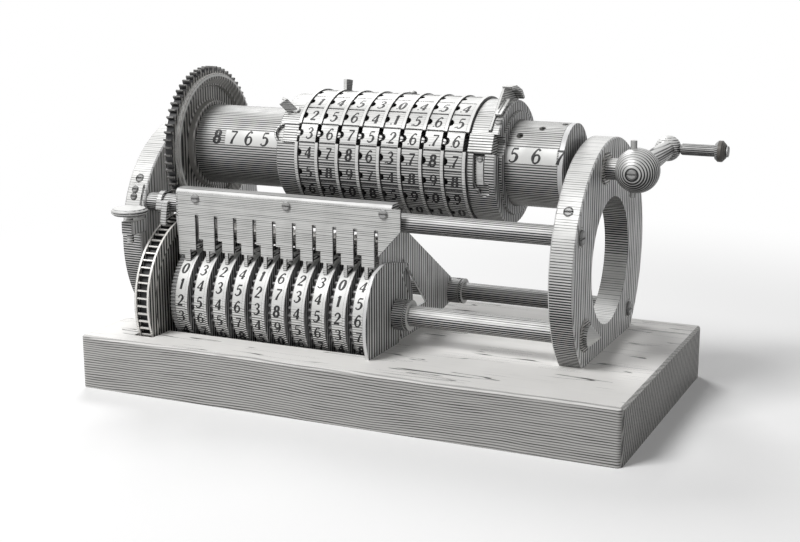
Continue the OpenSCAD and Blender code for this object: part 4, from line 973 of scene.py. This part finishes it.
class CALCULATOR_OT_drum(bpy.types.Operator):
    """Drum, gears, crank and the two long shafts"""
    bl_idname = "calculator.drum"
    bl_label = "Drum and crank"

    def execute(self, context):
        metal = context.scene.calculator_metal
        on_ends = upright(0.42, 0.56)
        wear_round(["drum"], "drum_metal", metal.drum, UPPER_AXIS, DRUM_SKIN, metal, along_x(0.36, 0.82),
                   0.9, FIGURED)
        wear_lined(["drum_end_plate"], "drum_end_metal", scaled(metal.dark, 1.6), CAST, metal, on_ends, 2.0)
        for name in ("main_shaft", "lower_shaft"):
            wear_round([name], f"{name}_steel", metal.silvered, centre_and_radius(name)[0], DRAWN_BAR,
                       metal, along_x(0.26, 1.8), 0.85)
        # Painted light and shade: the same gear metal is painted darker on the drum gear and lighter on the
        # lower gear, on faces and tooth lands alike
        for name, face_light_share, land_light_share in (("drum_gear", 1.0, 0.3), ("lower_gear", 1.6, 1.95)):
            face = (scaled(metal.gear, face_light_share), on_ends, 1.7)
            land = (scaled(metal.gear, land_light_share), along_x(-0.1, 0.2), 1.0)
            self.cut_gear(metal, name, face, land)
        wear(["crank_hub"], self.turned(metal))
        wear_lined(["crank_arm"], "crank_arm_steel", metal.bright, POLISHED, metal, along_y(0.15, 0.75),
                   0.8)
        wear_lined(["crank_pin", "handle_pin"], "pin_steel", scaled(metal.bright, 0.7), POLISHED, metal,
                   on_ends, 0.6)
        rod = (scaled(metal.bright, 0.7), along_x(0.38, 0.95), 0.7)
        knob = (KNOB_TONE, (ACROSS_X, ALONG_Z, 0.35, 0.5), 0.6)
        grip_axis = centre_and_radius("handle_grip")[0]
        wear_zoned(["handle_grip"], "grip_metal", metal, grip_zone, knob, rod, grip_axis)
        return {"FINISHED"}

    def cut_gear(self, metal, name, face, land):
        """Planed faces, gaps between the teeth painted near black as shade, and the lands of the teeth in a
        tone of their own.

        The large gear has a bright ring painted below its teeth as a highlight.
        """
        centre, tip_radius = centre_and_radius(name)
        tooth_height, land_depth, past_tips = 3.2 * MM, 1.0 * MM, 1 * MM
        highlight_inner, highlight_outer = tip_radius - 6.0 * MM, tip_radius - 4.8 * MM
        teeth = on_rims(ring_round(centre, tip_radius - tooth_height, tip_radius + past_tips))
        # Painted shade: the gaps between the teeth are painted near black
        shaded_gaps = on_rims(ring_round(centre, tip_radius - tooth_height, tip_radius - land_depth))
        patches = [(shaded_gaps, scaled(metal.line, 1.5))]
        # Painted highlight: a bright ring below the teeth of the drum gear
        if name == "drum_gear":
            patches.append((ring_round(centre, highlight_inner, highlight_outer), metal.silvered))
        wear_zoned([name], f"{name}_metal", metal, teeth, face, land, centre, CUT_GEAR, patches=patches)

    def turned(self, metal):
        """Rings round the screw in the ball, as a lathe leaves them, drawn wider as painted shade on the side
        away from the light.
        """
        spacing = 0.8 * metal.line_spacing
        threshold, swell, blur = 0.55, -1.5, 0.5
        finish = Finish("crank_ball_steel", TURNED)
        low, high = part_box("hub_screw")
        offset = finish.vector("SUBTRACT", finish.place, tuple((low + high) / 2))
        wave = finish.math("SINE", finish.times(finish.vector("LENGTH", offset), 2 * math.pi / spacing))
        start = finish.math("MULTIPLY_ADD", finish.painted_shade, swell, threshold)
        rings = finish.ramp(wave, start, finish.math("ADD", start, blur))
        colour = finish.mix(rings, scaled(metal.bright, 0.9), metal.line)
        return finish.close(colour, rings, edge_colour=metal.line)


class CALCULATOR_OT_carriage(bpy.types.Operator):
    """Carriage, its levers and number rings, and the recording wheels"""
    bl_idname = "calculator.carriage"
    bl_label = "Carriage"

    def execute(self, context):
        metal = context.scene.calculator_metal
        plain = along_x(0.0, 0.2)
        block_face = (scaled(metal.dark, 1.5), upright(0.45, 0.5), 1.8)
        block_side = (scaled(metal.silvered, 0.95), along_x(0.25, 1.0), 0.95)
        wear_zoned(["carriage_sleeve", "left_end_block", "right_end_block"], "block_metal", metal, rim_zone,
                   block_face, block_side, UPPER_AXIS, heaviest=FIGURED)
        # Painted shade: the sides of the flanges between the rings are painted dark
        shaded_flange_side = (scaled(metal.dark, 0.35), plain, 1.0)
        flange_edge = (metal.silvered, along_x(-0.1, 0.45), 0.95)
        wear_zoned(["ring_spacers"], "spacer_metal", metal, rim_zone, shaded_flange_side, flange_edge, UPPER_AXIS,
                   edge_radius=0.4 * MM, heaviest=FIGURED)
        wear_lined(["locking_slide"], "slide_metal", metal.silvered, PLATED, metal, along_x(0.32, 0.5), 0.9)
        wear_lined(["latch_spring"], "spring_steel", metal.silvered, SPRING, metal, plain, 0.6)
        wear_lined(["latch_lever", "finger_lever"], "lever_steel", metal.silvered, PLATED, metal,
                   along_y(-0.05, 0.3), 0.8)
        # Painted shade: the sides of the rings and the hollows below their bands are painted dark
        shaded_ring_side = (scaled(metal.dark, 0.3), along_x(0.4, 0.6), 1.0)
        ring_band = (scaled(metal.silvered, 0.93), along_x(0.06, 1.2), 0.95)
        wear_zoned(numbered("number_ring", RING_READS), "ring_metal", metal,
                   band_zone(UPPER_AXIS, RING_RADIUS, 0.3 * MM), shaded_ring_side, ring_band, UPPER_AXIS,
                   edge_radius=0.5 * MM, heaviest=FIGURED)
        # Painted shade: the sides and teeth of the wheels, below their bands, are painted darker
        shaded_wheel_side = (scaled(metal.dark, 1.2), upright(0.3, 0.5), 1.5)
        wheel_band = (metal.silvered, along_x(-0.12, 0.95), 0.95)
        wear_zoned(numbered("recording_wheel", WHEEL_READS), "wheel_metal", metal,
                   band_zone(LOWER_AXIS, WHEEL_RADIUS, 0.25 * MM), shaded_wheel_side, wheel_band, LOWER_AXIS,
                   heaviest=FIGURED)
        return {"FINISHED"}


class CALCULATOR_OT_figures(bpy.types.Operator):
    """Black figures on the rings, wheels and drum, and the white strip on the drum"""
    bl_idname = "calculator.figures"
    bl_label = "Figures"

    def execute(self, context):
        settings = context.scene.calculator_figures
        ink = Finish("figure_filling", INK).close(settings.colour, dirt=0.1)
        tree = build_figure_wrap()
        plain = figure_collection("plain_figure", settings, settings.height)
        large = figure_collection("large_figure", settings, settings.drum_height)
        ruled = figure_collection("ruled_figure", settings, settings.height, [RULE])
        dotted = figure_collection("dotted_figure", settings, settings.height, [RULE, DOT])
        for number, reads in enumerate(RING_READS, 1):
            low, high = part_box(f"number_ring_{number}")
            run_tree(f"ring_{number}_figures", tree, f"number_ring_{number}", "figure_metal",
                     Figures=dotted if number >= FIRST_DOTTED_RING else ruled,
                     First_Figure=(reads - ROWS_ABOVE) % len(STROKES), Bare_Place=0, Pitch_Round=STEP_ANGLE,
                     First_X=low.x + RING_FIGURE_SHARE * (high.x - low.x),
                     First_Angle=READING_ANGLE + ROWS_ABOVE * STEP_ANGLE, Axis=UPPER_AXIS,
                     Radius=RING_RADIUS, Material=ink)
        for number, reads in enumerate(WHEEL_READS, 1):
            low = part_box(f"recording_wheel_{number}")[0]
            run_tree(f"wheel_{number}_figures", tree, f"recording_wheel_{number}", "figure_metal",
                     Figures=plain, First_Figure=reads, Pitch_Round=STEP_ANGLE,
                     First_X=low.x + WHEEL_TEETH_WIDTH + WHEEL_BAND_WIDTH / 2, First_Angle=WHEEL_TOP_ANGLE,
                     Axis=LOWER_AXIS, Radius=WHEEL_RADIUS, Material=ink)
        self.add_drum_strip(context, tree, large, ink)
        for collection in (plain, large, ruled, dotted):
            for item in list(collection.objects):
                bpy.data.objects.remove(item)
            bpy.data.collections.remove(collection)
        return {"FINISHED"}

    def add_drum_strip(self, context, tree, figures, ink):
        """A white strip along the drum, and a row of figures on either side of the carriage's middle."""
        metal = context.scene.calculator_metal
        white = wear_lined([], "strip_metal", metal.silvered, STRIP, metal, along_x(-0.1, 0.0))
        strip = curved_plate("drum_strip", STRIP_START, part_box("drum")[1].x - STRIP_END_GAP, UPPER_AXIS,
                             DRUM_RADIUS - STRIP_RISE, 2 * STRIP_RISE, STRIP_ANGLE - STRIP_HALF_ANGLE,
                             STRIP_ANGLE + STRIP_HALF_ANGLE, white)
        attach(strip, "drum")
        for name, first_x, pitch, count in DRUM_FIGURES:
            run_tree(f"drum_{name}_figures", tree, "drum", "figure_metal", Figures=figures, Count=count,
                     First_Figure=count, Figure_Step=-1, Pitch_Along=pitch * MM, First_X=first_x * MM,
                     First_Angle=STRIP_ANGLE, Axis=UPPER_AXIS, Radius=DRUM_RADIUS + STRIP_RISE,
                     Material=ink)


OPERATORS = (CALCULATOR_OT_stage, CALCULATOR_OT_base, CALCULATOR_OT_fixed_metal, CALCULATOR_OT_drum,
             CALCULATOR_OT_carriage, CALCULATOR_OT_figures)


class CALCULATOR_PT_panel(bpy.types.Panel):
    """Sizes, colours and the steps that dress the machine"""
    bl_idname = "CALCULATOR_PT_panel"
    bl_label = "Barrel calculating machine"
    bl_space_type = "VIEW_3D"
    bl_region_type = "UI"
    bl_category = "Calculator"

    def draw(self, context):
        for name, settings in SETTINGS.items():
            box = self.layout.box()
            for key in settings.__annotations__:
                box.prop(getattr(context.scene, name), key)
        for operator in OPERATORS:
            self.layout.operator(operator.bl_idname)


CLASSES = (*SETTINGS.values(), *OPERATORS, CALCULATOR_PT_panel)


def register():
    for item in CLASSES:
        bpy.utils.register_class(item)
    for name, settings in SETTINGS.items():
        setattr(bpy.types.Scene, name, PointerProperty(type=settings))


def unregister():
    for name in SETTINGS:
        delattr(bpy.types.Scene, name)
    for item in reversed(CLASSES):
        bpy.utils.unregister_class(item)


def main():
    register()
    for build in GROUP_BUILDERS:
        build()
    for operator in OPERATORS:
        step = operator.bl_idname.split(".")[1]
        getattr(bpy.ops.calculator, step)()


if __name__ == "__main__":
    main()
